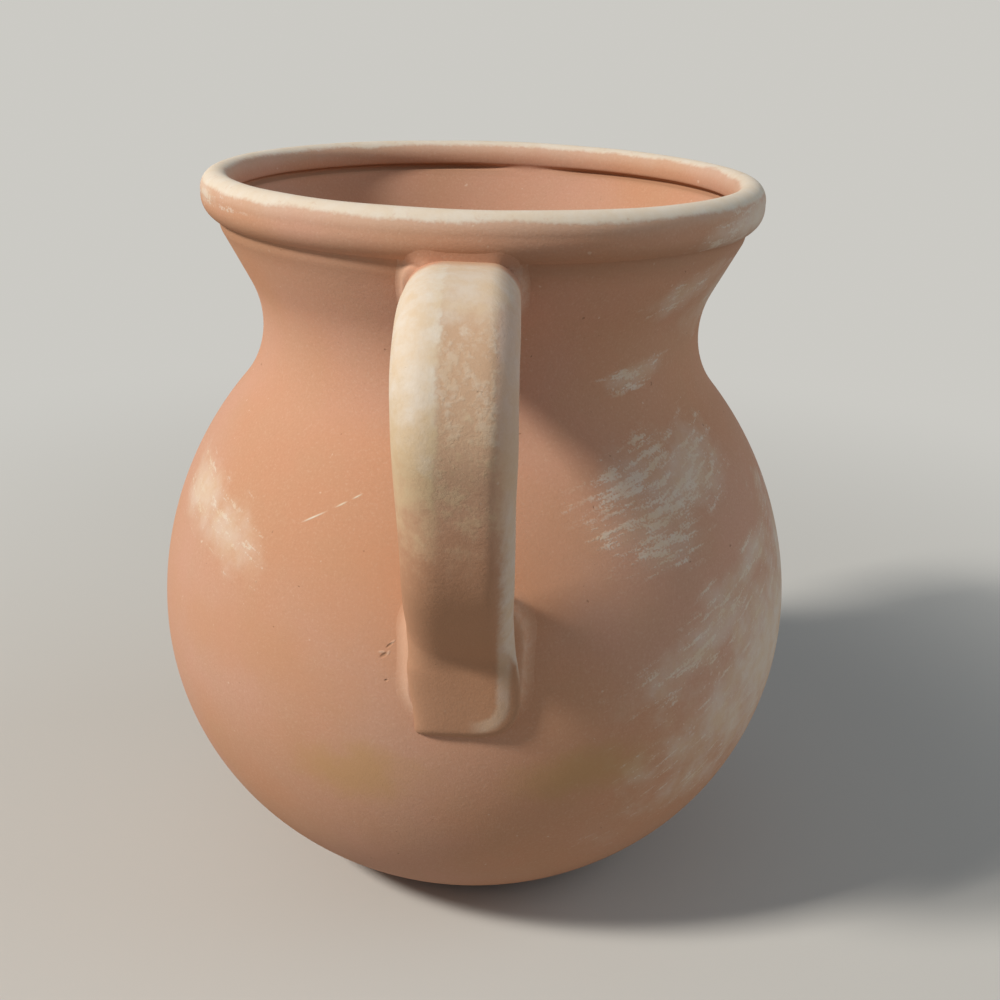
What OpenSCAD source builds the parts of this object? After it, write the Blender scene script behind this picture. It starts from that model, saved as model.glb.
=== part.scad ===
// Terracotta pitcher: a round belly, a hollow neck, a flared mouth with a coiled rim and one strap handle.
// The origin is the middle of the flat underside. The handle points to -Y and the pouring lip to +Y.

/* [Belly] */
// Radius at the widest level
belly_r = 100; // [94:1:108]
// Radius of the curve below the widest level
bowl_curve_r = 91; // [86:1:94]
// Radius of the curve above the widest level
shoulder_curve_r = 110; // [104:1:118]
// Radius of the flat underside
base_r = 50; // [42:1:58]
// Thickness of the thrown wall
wall = 6; // [5:0.5:8]
// Thickness of the floor slab
floor_h = 7; // [5:0.5:9]

/* [Neck and mouth] */
// Outer radius at the narrowest level
neck_r = 66.5; // [62:0.5:71]
// Radius of the hollow curve between shoulder and flare
neck_curve_r = 30; // [26:1:34]
// Lean of the flare from upright, in degrees
flare_angle = 27.5; // [24:0.5:32]
// Rise of the flare's level edge above the narrowest level
mouth_rise = 35.5; // [32:0.5:40]

/* [Rim] */
// Width of the coil laid round the mouth
coil_w = 9; // [8:0.1:10]
// Height of the coil before it is pressed down
coil_h = 10.4; // [9:0.1:12]
// Depth to which the coil is pressed flat where it sits
coil_seat = 0.9; // [0.6:0.1:1.4]
// How far the coil stands out beyond the wall's edge
coil_overhang = 1.6; // [0.8:0.1:2]
// How far the pouring lip is drawn out
lip_reach = 3.5; // [2:0.25:5]
// Width of the pouring lip
lip_w = 52; // [40:1:64]

/* [Handle] */
// Width of the strap at the top
strap_w = 29; // [25:0.5:33]
// Width of the strap at its foot
strap_foot_w = 25; // [22:0.5:28]
// Thickness of the strap
strap_t = 17; // [13:0.5:19]
// Clear height between the strap's top and the rim
strap_drop = 2.5; // [1.5:0.25:6]
// Reach of the strap's middle line beyond the belly
strap_reach = 18; // [12.5:0.5:24.5]
// Radius of the upper bend, on the middle line
strap_bend_r = 25; // [21:1:29]
// Length of the straight run
strap_run = 23; // [18:1:28]
// Lean of the straight run towards the belly, in degrees
strap_lean = 10; // [6:0.5:13]
// Radius of the lower bend, on the middle line
foot_bend_r = 40; // [34:1:46]
// Turn of the lower bend, in degrees
foot_turn = 25; // [21:1:29]
// Radius of the bend that lays the foot on the belly, on the middle line
press_bend_r = 20; // [16:0.5:24]
// How far the pressed foot stands out from the belly
foot_proud = 2; // [1.5:0.25:3]
// Height of the foot's end above the widest level
foot_rise = 5; // [3:0.5:7]

/* [Luted joints] */
// Radius of the clay wiped into the corner round the strap's root
root_lute_r = 4; // [3:0.25:5]
// Radius of the clay wiped into the corner round the strap's foot
foot_lute_r = 4; // [3:0.25:5.5]
// Share of that clay left at the foot's end
foot_lute_share = 0.3; // [0.2:0.05:0.4]
// Radius of the corners of that clay
foot_lute_corner = 5; // [4:0.5:6]
// Clearance between the upper lute and the rim
lute_clear = 0.3; // [0.2:0.1:0.6]

/* [Hidden] */

clay = "#c8916f";
pale_clay = "#dcb796";
whitewash = "#e8d9c3";

// Facets of a full turn and steps of each kind of curve
turn_facets = 360;
wall_steps = 22;
slab_steps = 4;
bend_steps = 12;
strap_side_steps = 12;
coil_steps = 16;
coil_stations = 96;
lute_steps = 6;
cap_rings = 3;

// Centres of the three wall curves, as [radius, height]
bowl_centre_r = belly_r - bowl_curve_r;
belly_z = sqrt(pow(bowl_curve_r, 2) - pow(base_r - bowl_centre_r, 2));
bowl_centre = [bowl_centre_r, belly_z];
shoulder_centre = [belly_r - shoulder_curve_r, belly_z];
neck_centre_r = neck_r + neck_curve_r;
neck_offset_r = neck_centre_r - shoulder_centre[0];
neck_z = belly_z + sqrt(pow(shoulder_curve_r + neck_curve_r, 2) - pow(neck_offset_r, 2));
neck_centre = [neck_centre_r, neck_z];

// Angle at which the shoulder passes into the neck
touch_angle = atan2(neck_z - belly_z, neck_offset_r);

// Start of the straight flare and the level edge of the mouth
flare_start = neck_centre + neck_curve_r * [-cos(flare_angle), sin(flare_angle)];
mouth_z = neck_z + mouth_rise;
mouth_r = flare_r(mouth_z);

// The coil is pressed flat on the wall's edge
coil_ring_r = mouth_r + coil_overhang - coil_w / 2;
coil_z = mouth_z + coil_h / 2 - coil_seat;
coil_seat_angle = asin(1 - 2 * coil_seat / coil_h);
lip_half_angle = asin(lip_w / 2 / coil_ring_r);

// Middle line of the strap, as [radius, height]
strap_z = mouth_z - strap_drop - strap_t / 2;
strap_root = [neck_r - wall, strap_z];
top_bend_centre = [belly_r + strap_reach - strap_bend_r, strap_z - strap_bend_r];
run_start = top_bend_centre + strap_bend_r * [cos(strap_lean), -sin(strap_lean)];
run_end = run_start - strap_run * [sin(strap_lean), cos(strap_lean)];
foot_bend_centre = run_end - foot_bend_r * [cos(strap_lean), -sin(strap_lean)];
foot_angle = -strap_lean - foot_turn;
foot_facing = [cos(foot_angle), sin(foot_angle)];
foot_bend_end = foot_bend_centre + foot_bend_r * foot_facing;

// The strap then falls straight towards the belly, as far as the pressed foot asks, and is laid upright on it
press_r = belly_r + foot_proud - strap_t / 2;
press_fall = press_bend_r * (1 - cos(foot_angle));
foot_way = [sin(foot_angle), -cos(foot_angle)];
foot_run = (foot_bend_end[0] - press_fall - press_r) / -foot_way[0];
press_start = foot_bend_end + foot_run * foot_way;
press_centre = press_start + press_bend_r * foot_facing;
foot_end = [press_r, belly_z + foot_rise];

// Place where the strap's middle line meets the neck, as [radius, height, heading]
top_joint = [flare_r(strap_z), strap_z, 0];

// Print of the foot on the belly, from the corner of the finger gap down to the foot's end
gap_corner = line_meets_shoulder(foot_bend_end - strap_t / 2 * foot_facing, foot_way);
print_top = shoulder_angle(gap_corner[1]);
print_foot = shoulder_angle(foot_end[1]);
print_angle = (print_top + print_foot) / 2;
print_h = shoulder_curve_r * (print_top - print_foot) * PI / 180;

// The wiped clay starts inside the wall and ends just under the strap's skin
lute_sink = wall / 2;
lute_tuck = 0.6;
cap_step = strap_foot_w / 4 / cap_rings;
root_lute_share = min(1, (strap_drop - lute_clear) / root_lute_r);

function flare_r(z) = flare_start[0] + (z - flare_start[1]) * tan(flare_angle);

function arc(centre, radius, from, to, steps) =
    [for (i = [0:steps])
        let (a = from + (to - from) * i / steps)
        centre + radius * [cos(a), sin(a)]];

// Angle of a bowl curve of the given radius where it crosses a level
function bowl_angle(radius, level) = asin((level - belly_z) / radius);

// One face of the wall from a level up to the mouth: inset 0 is the outer face
function wall_face(inset, level) =
    concat(
        arc(bowl_centre, bowl_curve_r - inset, bowl_angle(bowl_curve_r - inset, level), 0, wall_steps),
        tail(arc(shoulder_centre, shoulder_curve_r - inset, 0, touch_angle, wall_steps)),
        tail(arc(neck_centre, neck_curve_r + inset, 180 + touch_angle, 180 - flare_angle, wall_steps)),
        [[mouth_r - inset / cos(flare_angle), mouth_z]]
    );

function tail(list) = [for (i = [1:len(list) - 1]) list[i]];

function reverse(list) = [for (i = [len(list) - 1:-1:0]) list[i]];

// Stations of a bend that turns clockwise, as [radius, height, heading]
function bend(centre, radius, from, to) =
    [for (i = [0:bend_steps])
        let (a = from + (to - from) * i / bend_steps)
        [centre[0] + radius * cos(a), centre[1] + radius * sin(a), a - 90]];

// Angle on the shoulder curve at a level
function shoulder_angle(level) = asin((level - belly_z) / shoulder_curve_r);

// Where a straight line from a place first meets the shoulder curve
function line_meets_shoulder(place, way) =
    let (
        arm = place - shoulder_centre,
        near = way * arm,
        spare = arm * arm - pow(shoulder_curve_r, 2)
    )
    place - (near + sqrt(pow(near, 2) - spare)) * way;

// Width of the strap, which narrows from the upper bend to the foot
function strap_width(z) =
    let (share = (run_start[1] - z) / (run_start[1] - press_start[1]))
    strap_w + (strap_foot_w - strap_w) * max(0, min(1, share));

// Flat strap with round sides: half a disc at each end of the width
function strap_section(width, thickness) =
    let (side = thickness / 2, reach = width / 2 - side)
    concat(
        arc([reach, 0], side, -90, 90, strap_side_steps),
        arc([-reach, 0], side, 90, 270, strap_side_steps)
    );

// Puts a section point on a station: across the strap, out of its face and along its heading
function on_station(station, across, out, along = 0) =
    let (
        heading = station[2],
        radius = station[0] + along * cos(heading) - out * sin(heading),
        height = station[1] + along * sin(heading) + out * cos(heading)
    )
    [across, -radius, height];

function strap_ring(station) =
    [for (p = strap_section(strap_width(station[1]), strap_t)) on_station(station, p[0], p[1])];

// One ring of the clay round the root, held parallel to the flare at a height above it.
// It is grown beyond the strap.
// Only a share of the growth is left on the strap's upper side, under the rim.
function root_lute_ring(height, grow) =
    let (
        slant = top_joint[2] + flare_angle,
        width = strap_width(top_joint[1]) + 2 * grow,
        upper_grow = grow * root_lute_share * cos(slant),
        lower_grow = grow * cos(slant),
        thickness = strap_t + upper_grow + lower_grow,
        shift = (upper_grow - lower_grow) / 2
    )
    [for (p = strap_section(width, thickness))
        let (
            out = p[1] + shift,
            fall = pow(p[0], 2) / top_joint[0] / 2
        )
        on_station(top_joint, p[0], out, (height - fall) / cos(slant) + out * tan(slant))];

// Height above the wall and growth beyond the strap, round a hollow quarter circle
function lute_profile(radius) =
    concat(
        [[-lute_sink, radius]],
        [for (i = [0:lute_steps - 1])
            let (a = 90 * i / lute_steps)
            [radius * (1 - cos(a)), radius * (1 - sin(a))]],
        [[radius, -lute_tuck]]
    );

// Rectangle with round corners, across the strap and up the wall
function print_section(width, low, high, corner) =
    let (right = width / 2 - corner, bottom = low + corner, top = high - corner)
    concat(
        arc([right, bottom], corner, -90, 0, lute_steps),
        arc([right, top], corner, 0, 90, lute_steps),
        arc([-right, top], corner, 90, 180, lute_steps),
        arc([-right, bottom], corner, 180, 270, lute_steps)
    );

// Puts a point on the belly: across the strap, up the wall from the middle of the print, and above the wall
function on_belly(across, up, height) =
    let (
        angle = print_angle + up / shoulder_curve_r * 180 / PI,
        place = shoulder_centre + (shoulder_curve_r + height) * [cos(angle), sin(angle)]
    )
    [across, -sqrt(pow(place[0], 2) - pow(across, 2)), place[1]];

// One ring of the clay round the foot, which is lower and narrower towards the foot's end
function foot_lute_ring(height, grow) =
    let (
        low = -print_h / 2 - grow * foot_lute_share,
        high = print_h / 2 + grow,
        width = strap_foot_w + 2 * grow,
        corner = max(lute_tuck, foot_lute_corner + grow)
    )
    [for (p = print_section(width, low, high, corner))
        let (rise = (p[1] - low) / (high - low))
        on_belly(p[0], p[1], height * (height < 0 ? 1 : foot_lute_share + (1 - foot_lute_share) * rise))];

// How far the lip draws the coil out at an angle away from its middle
function lip_draw(angle) =
    abs(angle) < lip_half_angle ? lip_reach * (1 + cos(180 * angle / lip_half_angle)) / 2 : 0;

// Oval section of the coil, flat below. At the lip it is wider, and its inner side stays in place.
function coil_ring(angle) =
    let (half_w = (coil_w + lip_draw(angle)) / 2, ring_r = coil_ring_r + lip_draw(angle) / 2)
    [for (p = arc([0, 0], 1, -coil_seat_angle, 180 + coil_seat_angle, coil_steps))
        let (radius = ring_r + half_w * p[0])
        [radius * sin(angle), radius * cos(angle), coil_z + coil_h / 2 * p[1]]];

// Skins a row of rings of equal length, as a tube with two ends or as a closed loop
module skin(rings, closed = false) {
    count = len(rings);
    sides = len(rings[0]);
    spans = closed ? count : count - 1;
    sheath = [for (i = [0:spans - 1], j = [0:sides - 1])
        let (
            a = i * sides,
            b = ((i + 1) % count) * sides,
            k = (j + 1) % sides
        )
        each [[a + j, b + j, b + k], [a + j, b + k, a + k]]];
    first_end = [for (j = [0:sides - 1]) j];
    last_end = [for (j = [sides - 1:-1:0]) (count - 1) * sides + j];
    ends = closed ? [] : [first_end, last_end];
    polyhedron(points = [for (ring = rings) each ring], faces = concat(sheath, ends), convexity = 8);
}

// The vessel filled solid, against which the handle and the wiped clay are seated
module vessel_envelope() {
    rotate_extrude($fn = turn_facets)
        polygon(concat([[0, floor_h]], wall_face(0, floor_h), [[0, mouth_z]]));
}

module strap_sweep() {
    stations = concat(
        [[strap_root[0], strap_root[1], 0]],
        bend(top_bend_centre, strap_bend_r, 90, -strap_lean),
        bend(foot_bend_centre, foot_bend_r, -strap_lean, foot_angle),
        bend(press_centre, -press_bend_r, foot_angle, 0),
        [[foot_end[0], foot_end[1], -90]]
    );
    skin([for (station = stations) strap_ring(station)]);
}

// Clay wiped into the corner between strap and wall
module lute(rings) {
    color(pale_clay)
        difference() {
            skin(rings);
            strap_sweep();
            vessel_envelope();
        }
}

module base_slab() {
    color(clay)
        rotate_extrude($fn = turn_facets)
            polygon(concat(
                [[0, 0]],
                arc(bowl_centre, bowl_curve_r, bowl_angle(bowl_curve_r, 0),
                    bowl_angle(bowl_curve_r, floor_h), slab_steps),
                [[0, floor_h]]
            ));
}

module body_wall() {
    color(clay)
        rotate_extrude($fn = turn_facets)
            polygon(concat(wall_face(0, floor_h), reverse(wall_face(wall, floor_h))));
}

module rim_coil() {
    color(whitewash)
        skin([for (i = [0:coil_stations - 1]) coil_ring(360 * i / coil_stations - 180)], closed = true);
}

module handle() {
    color(whitewash)
        difference() {
            strap_sweep();
            vessel_envelope();
        }
}

module upper_lute() {
    lute([for (p = lute_profile(root_lute_r)) root_lute_ring(p[0], p[1])]);
}

module lower_lute() {
    cap = [for (i = [1:cap_rings]) [foot_lute_r, -lute_tuck - cap_step * i]];
    lute([for (p = concat(lute_profile(foot_lute_r), cap)) foot_lute_ring(p[0], p[1])]);
}

base_slab();
body_wall();
rim_coil();
handle();
upper_lute();
lower_lute();
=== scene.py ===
"""Looks of the terracotta pitcher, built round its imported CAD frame.

The wall, floor, rim coil, strap and wiped joints are modelled with edit operators at the sizes of the CAD nodes that
they stand for. They are dressed with unglazed clay, dry-brushed whitewash and stains.
"""

import logging
import math
from collections.abc import Callable, Iterable, Mapping
from dataclasses import dataclass
from enum import Enum
from functools import reduce

import bpy
from mathutils import Matrix, Vector

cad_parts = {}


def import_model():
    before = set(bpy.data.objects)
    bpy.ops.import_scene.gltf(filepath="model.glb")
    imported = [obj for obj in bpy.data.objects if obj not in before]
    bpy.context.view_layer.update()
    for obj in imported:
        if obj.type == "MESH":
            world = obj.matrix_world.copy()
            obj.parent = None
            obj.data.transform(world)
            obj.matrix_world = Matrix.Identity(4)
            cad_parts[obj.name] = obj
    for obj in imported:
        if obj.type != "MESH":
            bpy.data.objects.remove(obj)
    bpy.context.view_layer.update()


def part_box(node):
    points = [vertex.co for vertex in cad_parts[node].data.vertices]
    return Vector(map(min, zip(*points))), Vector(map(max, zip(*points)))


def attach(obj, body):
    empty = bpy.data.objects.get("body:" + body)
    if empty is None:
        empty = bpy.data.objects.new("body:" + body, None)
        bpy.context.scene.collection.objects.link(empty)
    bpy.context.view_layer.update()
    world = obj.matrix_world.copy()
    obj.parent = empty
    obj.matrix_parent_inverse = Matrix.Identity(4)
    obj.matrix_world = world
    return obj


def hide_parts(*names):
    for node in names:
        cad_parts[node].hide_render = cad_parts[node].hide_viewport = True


LOG = logging.getLogger("pitcher")
MM = 0.001
AXIS_X = Vector((1, 0, 0))
AXIS_Y = Vector((0, 1, 0))
AXIS_Z = Vector((0, 0, 1))
QUARTER = math.pi / 2
MERGE = 0.001 * MM
SMOOTH_LIMIT = math.radians(40)

Thing = bpy.types.Object
Socket = bpy.types.NodeSocket
Colour = tuple[float, float, float, float]
Given = Socket | float | tuple[float, ...]
Span = tuple[float, float]


class Slot(Enum):
    """Material slots of the record."""

    TERRACOTTA = "terracotta"
    RIM = "whitewashed_rim"
    STRAP = "whitewashed_strap"
    WIPED = "wiped_clay"


class Bench:
    """Edit-mode tools of the workbench, each acting on the active piece."""

    @staticmethod
    def clear() -> None:
        """Leaves edit mode and deselects every object."""
        if bpy.context.object and bpy.context.object.mode != "OBJECT":
            bpy.ops.object.mode_set(mode="OBJECT")
        bpy.ops.object.select_all(action="DESELECT")

    @staticmethod
    def edit() -> None:
        """Enters edit mode on the active piece."""
        bpy.ops.object.mode_set(mode="EDIT")

    @staticmethod
    def done() -> None:
        """Leaves edit mode."""
        bpy.ops.object.mode_set(mode="OBJECT")

    @staticmethod
    def activate(piece: Thing) -> None:
        """Makes a piece the only selected and the active one.

        Args:
            piece: The piece.
        """
        Bench.clear()
        piece.select_set(True)
        bpy.context.view_layer.objects.active = piece

    @staticmethod
    def name_active(name: str) -> Thing:
        """Names the active object and its mesh.

        Args:
            name: New name of both.

        Returns:
            The active object.
        """
        piece = bpy.context.object
        piece.name = name
        piece.data.name = name
        return piece

    @staticmethod
    def settle(piece: Thing) -> None:
        """Puts the object's place, turn and scale into its mesh."""
        Bench.activate(piece)
        bpy.ops.object.transform_apply(location=True, rotation=True, scale=True)

    @staticmethod
    def plate(name: str, middle: Vector, width: float, height: float) -> Thing:
        """Adds an upright plate across the Y axis and enters edit mode.

        Args:
            name: Name of the new piece.
            middle: Middle of the plate.
            width: Length on X.
            height: Length on Z.

        Returns:
            The plate.
        """
        Bench.clear()
        bpy.ops.mesh.primitive_plane_add(size=1, location=middle, rotation=(QUARTER, 0, 0))
        piece = Bench.name_active(name)
        piece.scale = (width, height, 1)
        Bench.settle(piece)
        Bench.edit()
        return piece

    @staticmethod
    def pick_all() -> None:
        """Selects the whole piece in edit mode."""
        bpy.ops.mesh.select_all(action="SELECT")

    @staticmethod
    def pick(piece: Thing, test: Callable[[Vector], bool]) -> None:
        """Selects the points that pass a test, from inside edit mode.

        Args:
            piece: Object in edit mode.
            test: Tells from a point's place whether it is picked.
        """
        bpy.ops.mesh.select_mode(type="VERT")
        bpy.ops.mesh.select_all(action="DESELECT")
        Bench.done()
        for vertex in piece.data.vertices:
            vertex.select = test(vertex.co)
        Bench.edit()

    @staticmethod
    def pull(step: Vector) -> None:
        """Extrudes what is selected by a step."""
        bpy.ops.mesh.extrude_region_move(TRANSFORM_OT_translate={"value": step})

    @staticmethod
    def tilt(angle: float, centre: Vector) -> None:
        """Turns what is selected about the X axis by the right hand, round a point that stays."""
        bpy.ops.transform.rotate(value=-angle, orient_axis="X", orient_type="GLOBAL", center_override=centre)

    @staticmethod
    def stretch(share: Iterable[float], centre: Vector) -> None:
        """Scales what is selected by a share on each axis, round a point that stays."""
        bpy.ops.transform.resize(value=tuple(share), center_override=centre)

    @staticmethod
    def ease(reach: float, steps: int, profile: float = 0.5) -> None:
        """Rounds the selected corners of a flat piece.

        Args:
            reach: Length that goes off each side.
            steps: Number of steps in the curve.
            profile: 0.5 for a round corner, less for a flatter one.
        """
        bpy.ops.mesh.bevel(offset=reach, offset_type="OFFSET", segments=steps, profile=profile, affect="VERTICES")

    @staticmethod
    def slice_off(place: Vector, normal: Vector) -> None:
        """Cuts the piece in edit mode with a plane, keeps what is beyond it and fills the cut.

        Args:
            place: Point on the plane.
            normal: Direction of the side that stays.
        """
        Bench.pick_all()
        bpy.ops.mesh.bisect(plane_co=place, plane_no=normal, use_fill=True, clear_inner=True)

    @staticmethod
    def tidy_shell() -> None:
        """Merges doubled points of the piece in edit mode and turns its faces outwards."""
        Bench.pick_all()
        bpy.ops.mesh.remove_doubles(threshold=MERGE)
        bpy.ops.mesh.normals_make_consistent(inside=False)

    @staticmethod
    def weigh(piece: Thing, name: str, share: Callable[[Vector], float]) -> str:
        """Gives every point a weight from its place.

        Args:
            piece: Object in object mode.
            name: Name of the vertex group.
            share: Weight of a point, from 0 to 1.

        Returns:
            The group's name.
        """
        group = piece.vertex_groups.new(name=name)
        for vertex in piece.data.vertices:
            weight = share(vertex.co)
            if weight > 0:
                group.add([vertex.index], min(weight, 1.0), "REPLACE")
        return name

    @staticmethod
    def shift(piece: Thing, group: str, direction: str, reach: float) -> None:
        """Adds a modifier that moves the points of a group along an axis.

        Args:
            piece: Object that gets the modifier.
            group: Vertex group whose weights share out the move.
            direction: Name of the axis, or NORMAL.
            reach: Move at full weight.
        """
        modifier = piece.modifiers.new(group, "DISPLACE")
        modifier.vertex_group = group
        modifier.direction = direction
        modifier.strength = reach
        modifier.mid_level = 0.0

    @staticmethod
    def press(piece: Thing, name: str, share: Callable[[Vector], float], direction: str, reach: float) -> None:
        """Adds a modifier that moves each point by its share of a reach.

        Args:
            piece: Object in object mode.
            name: Name of the vertex group and of the modifier.
            share: Weight of a point, from 0 to 1.
            direction: Name of the axis, or NORMAL.
            reach: Move at full weight.
        """
        Bench.shift(piece, Bench.weigh(piece, name, share), direction, reach)

    @staticmethod
    def knead(piece: Thing, name: str, size: float, depth: float, group: str = "") -> None:
        """Adds the slight unevenness that hands leave in clay.

        Args:
            piece: Object that gets the modifier.
            name: Name of the modifier and of its cloud texture.
            size: Width of the swellings.
            depth: Height from the lowest to the highest.
            group: Vertex group that limits it, or nothing for all points.
        """
        texture = bpy.data.textures.new(name, "CLOUDS")
        texture.noise_scale = size
        texture.noise_depth = 1
        modifier = piece.modifiers.new(name, "DISPLACE")
        modifier.texture = texture
        modifier.texture_coords = "LOCAL"
        modifier.strength = depth
        modifier.mid_level = 0.5
        modifier.vertex_group = group

    @staticmethod
    def soften(piece: Thing, levels: int) -> None:
        """Adds a subdivision surface with equal levels on screen and in the render.

        Args:
            piece: Object that gets the modifier.
            levels: Number of levels.
        """
        modifier = piece.modifiers.new("soften", "SUBSURF")
        modifier.levels = levels
        modifier.render_levels = levels

    @staticmethod
    def finish(piece: Thing) -> Thing:
        """Applies a piece's modifiers in order, drops its vertex groups and shades it smooth up to its true corners.

        Args:
            piece: The piece.

        Returns:
            The finished piece.
        """
        Bench.activate(piece)
        for modifier in list(piece.modifiers):
            bpy.ops.object.modifier_apply(modifier=modifier.name)
        piece.vertex_groups.clear()
        bpy.ops.object.shade_smooth_by_angle(angle=SMOOTH_LIMIT)
        return piece


class Pen:
    """Draws a profile in the plane of X and Z with extrusions and spins."""

    SEED = 0.1 * MM

    def __init__(self, name: str, start: Vector) -> None:
        """Adds a point to draw from.

        Args:
            name: Name of the new piece.
            start: First point of the profile.
        """
        Bench.clear()
        bpy.ops.mesh.primitive_plane_add(size=self.SEED, location=start)
        self.piece = Bench.name_active(name)
        Bench.settle(self.piece)
        Bench.edit()
        bpy.ops.mesh.select_mode(type="VERT")
        Bench.pick_all()
        bpy.ops.mesh.merge(type="CENTER")
        self.place = start.copy()

    def line(self, end: Vector, steps: int = 1) -> None:
        """Draws a straight line.

        Args:
            end: Last point of the line.
            steps: Number of equal steps.
        """
        step = (end - self.place) / steps
        for _ in range(steps):
            Bench.pull(step)
        self.place = end.copy()

    def through(self, points: Iterable[Vector]) -> None:
        """Draws a line through each point in turn."""
        for point in points:
            self.line(point)

    def arc(self, centre: Vector, turn: float, steps: int) -> None:
        """Draws an arc from X towards Z.

        Args:
            centre: Centre of the arc.
            turn: Angle of the arc in radians, negative for the other way.
            steps: Number of equal steps.
        """
        bpy.ops.mesh.spin(steps=steps, angle=turn, center=centre, axis=AXIS_Y)
        self.place = centre + Matrix.Rotation(-turn, 3, "Y") @ (self.place - centre)

    def close(self) -> None:
        """Joins the last point to the first."""
        first = self.piece.data.vertices[0].co.copy()
        last = self.place.copy()
        Bench.pick(self.piece, lambda co: min((co - first).length, (co - last).length) < MERGE)
        bpy.ops.mesh.edge_face_add()

    def lathe(self, steps: int) -> Thing:
        """Closes the profile and turns it about the Z axis into a shell.

        Args:
            steps: Number of steps in a full turn.

        Returns:
            The turned piece, in object mode.
        """
        self.close()
        Bench.pick_all()
        bpy.ops.mesh.spin(steps=steps, angle=math.tau, center=(0, 0, 0), axis=AXIS_Z)
        Bench.tidy_shell()
        Bench.done()
        return self.piece


def smooth_step(low: float, high: float, value: float) -> float:
    """Rises smoothly from 0 at low to 1 at high.

    Args:
        low: Value that gives 0.
        high: Value that gives 1.
        value: Value to place between them.

    Returns:
        Share from 0 to 1.
    """
    share = clamp((value - low) / (high - low))
    return share * share * (3 - 2 * share)


def clamp(value: float) -> float:
    """Keeps a value between 0 and 1."""
    return min(max(value, 0.0), 1.0)


def polar(centre: Vector, radius: float, angle: float) -> Vector:
    """Point of a circle in the plane of X and Z, at an angle in radians from X towards Z."""
    return centre + Vector((radius * math.cos(angle), 0, radius * math.sin(angle)))


def bezier(start: Vector, control: Vector, end: Vector, steps: int) -> list[Vector]:
    """Points of a curve that leaves start and reaches end in line with a control point.

    Args:
        start: First point, which isn't in the result.
        control: Control point.
        end: Last point.
        steps: Number of points.

    Returns:
        The points.
    """
    points = []
    for i in range(1, steps + 1):
        t = i / steps
        points.append(start * (1 - t) ** 2 + control * 2 * t * (1 - t) + end * t**2)
    return points


@dataclass(frozen=True)
class VesselCurve:
    """Profile of the wall: bowl, shoulder and neck curves and a straight flare, as radius on X and height on Z."""

    belly_r: float
    floor_h: float
    mouth_z: float
    bowl_curve_r: float = 91 * MM
    shoulder_curve_r: float = 110 * MM
    base_r: float = 50 * MM
    wall: float = 6 * MM
    neck_r: float = 66.5 * MM
    neck_curve_r: float = 30 * MM
    flare_angle: float = math.radians(27.5)

    @property
    def belly_z(self) -> float:
        """Height of the widest level."""
        return math.sqrt(self.bowl_curve_r**2 - (self.base_r - self.bowl_centre_r) ** 2)

    @property
    def bowl_centre_r(self) -> float:
        """Radius at which the bowl curve is centred."""
        return self.belly_r - self.bowl_curve_r

    @property
    def bowl_centre(self) -> Vector:
        """Centre of the bowl curve."""
        return Vector((self.bowl_centre_r, 0, self.belly_z))

    @property
    def shoulder_centre(self) -> Vector:
        """Centre of the shoulder curve."""
        return Vector((self.belly_r - self.shoulder_curve_r, 0, self.belly_z))

    @property
    def neck_centre(self) -> Vector:
        """Centre of the neck curve, outside the wall."""
        across = self.neck_r + self.neck_curve_r - self.shoulder_centre.x
        rise = math.sqrt((self.shoulder_curve_r + self.neck_curve_r) ** 2 - across**2)
        return Vector((self.neck_r + self.neck_curve_r, 0, self.belly_z + rise))

    @property
    def touch_angle(self) -> float:
        """Angle at which the shoulder passes into the neck."""
        arm = self.neck_centre - self.shoulder_centre
        return math.atan2(arm.z, arm.x)

    @property
    def mouth_r(self) -> float:
        """Outer radius of the level edge of the mouth."""
        return self.flare_r(self.mouth_z)

    @property
    def edge_w(self) -> float:
        """Width of the level edge of the mouth."""
        return self.wall / math.cos(self.flare_angle)

    def flare_start(self, inset: float = 0.0) -> Vector:
        """Point where the neck curve passes into the flare, at a depth below the outer face."""
        return polar(self.neck_centre, self.neck_curve_r + inset, math.pi - self.flare_angle)

    def flare_r(self, height: float) -> float:
        """Outer radius of the flare at a height."""
        start = self.flare_start()
        return start.x + (height - start.z) * math.tan(self.flare_angle)

    def bowl_angle(self, height: float, inset: float = 0.0) -> float:
        """Angle on the bowl curve at a height, at a depth below the outer face."""
        return math.asin((height - self.belly_z) / (self.bowl_curve_r - inset))

    def bowl_point(self, height: float, inset: float = 0.0) -> Vector:
        """Point of the bowl curve at a height, at a depth below the outer face."""
        return polar(self.bowl_centre, self.bowl_curve_r - inset, self.bowl_angle(height, inset))


class ClayPiece:
    """A piece of the pitcher that stands for a CAD node."""

    node: str
    slot = Slot.TERRACOTTA

    def dress(self, piece: Thing, finish: bpy.types.Material) -> None:
        """Gives a finished mesh its looks and hangs it on the frame in place of the node.

        Args:
            piece: The mesh.
            finish: Its material.
        """
        piece.data.materials.clear()
        piece.data.materials.append(finish)
        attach(piece, "root")
        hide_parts(self.node)
        LOG.info("%s stands for %s, %d faces", piece.name, self.node, len(piece.data.polygons))


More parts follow.
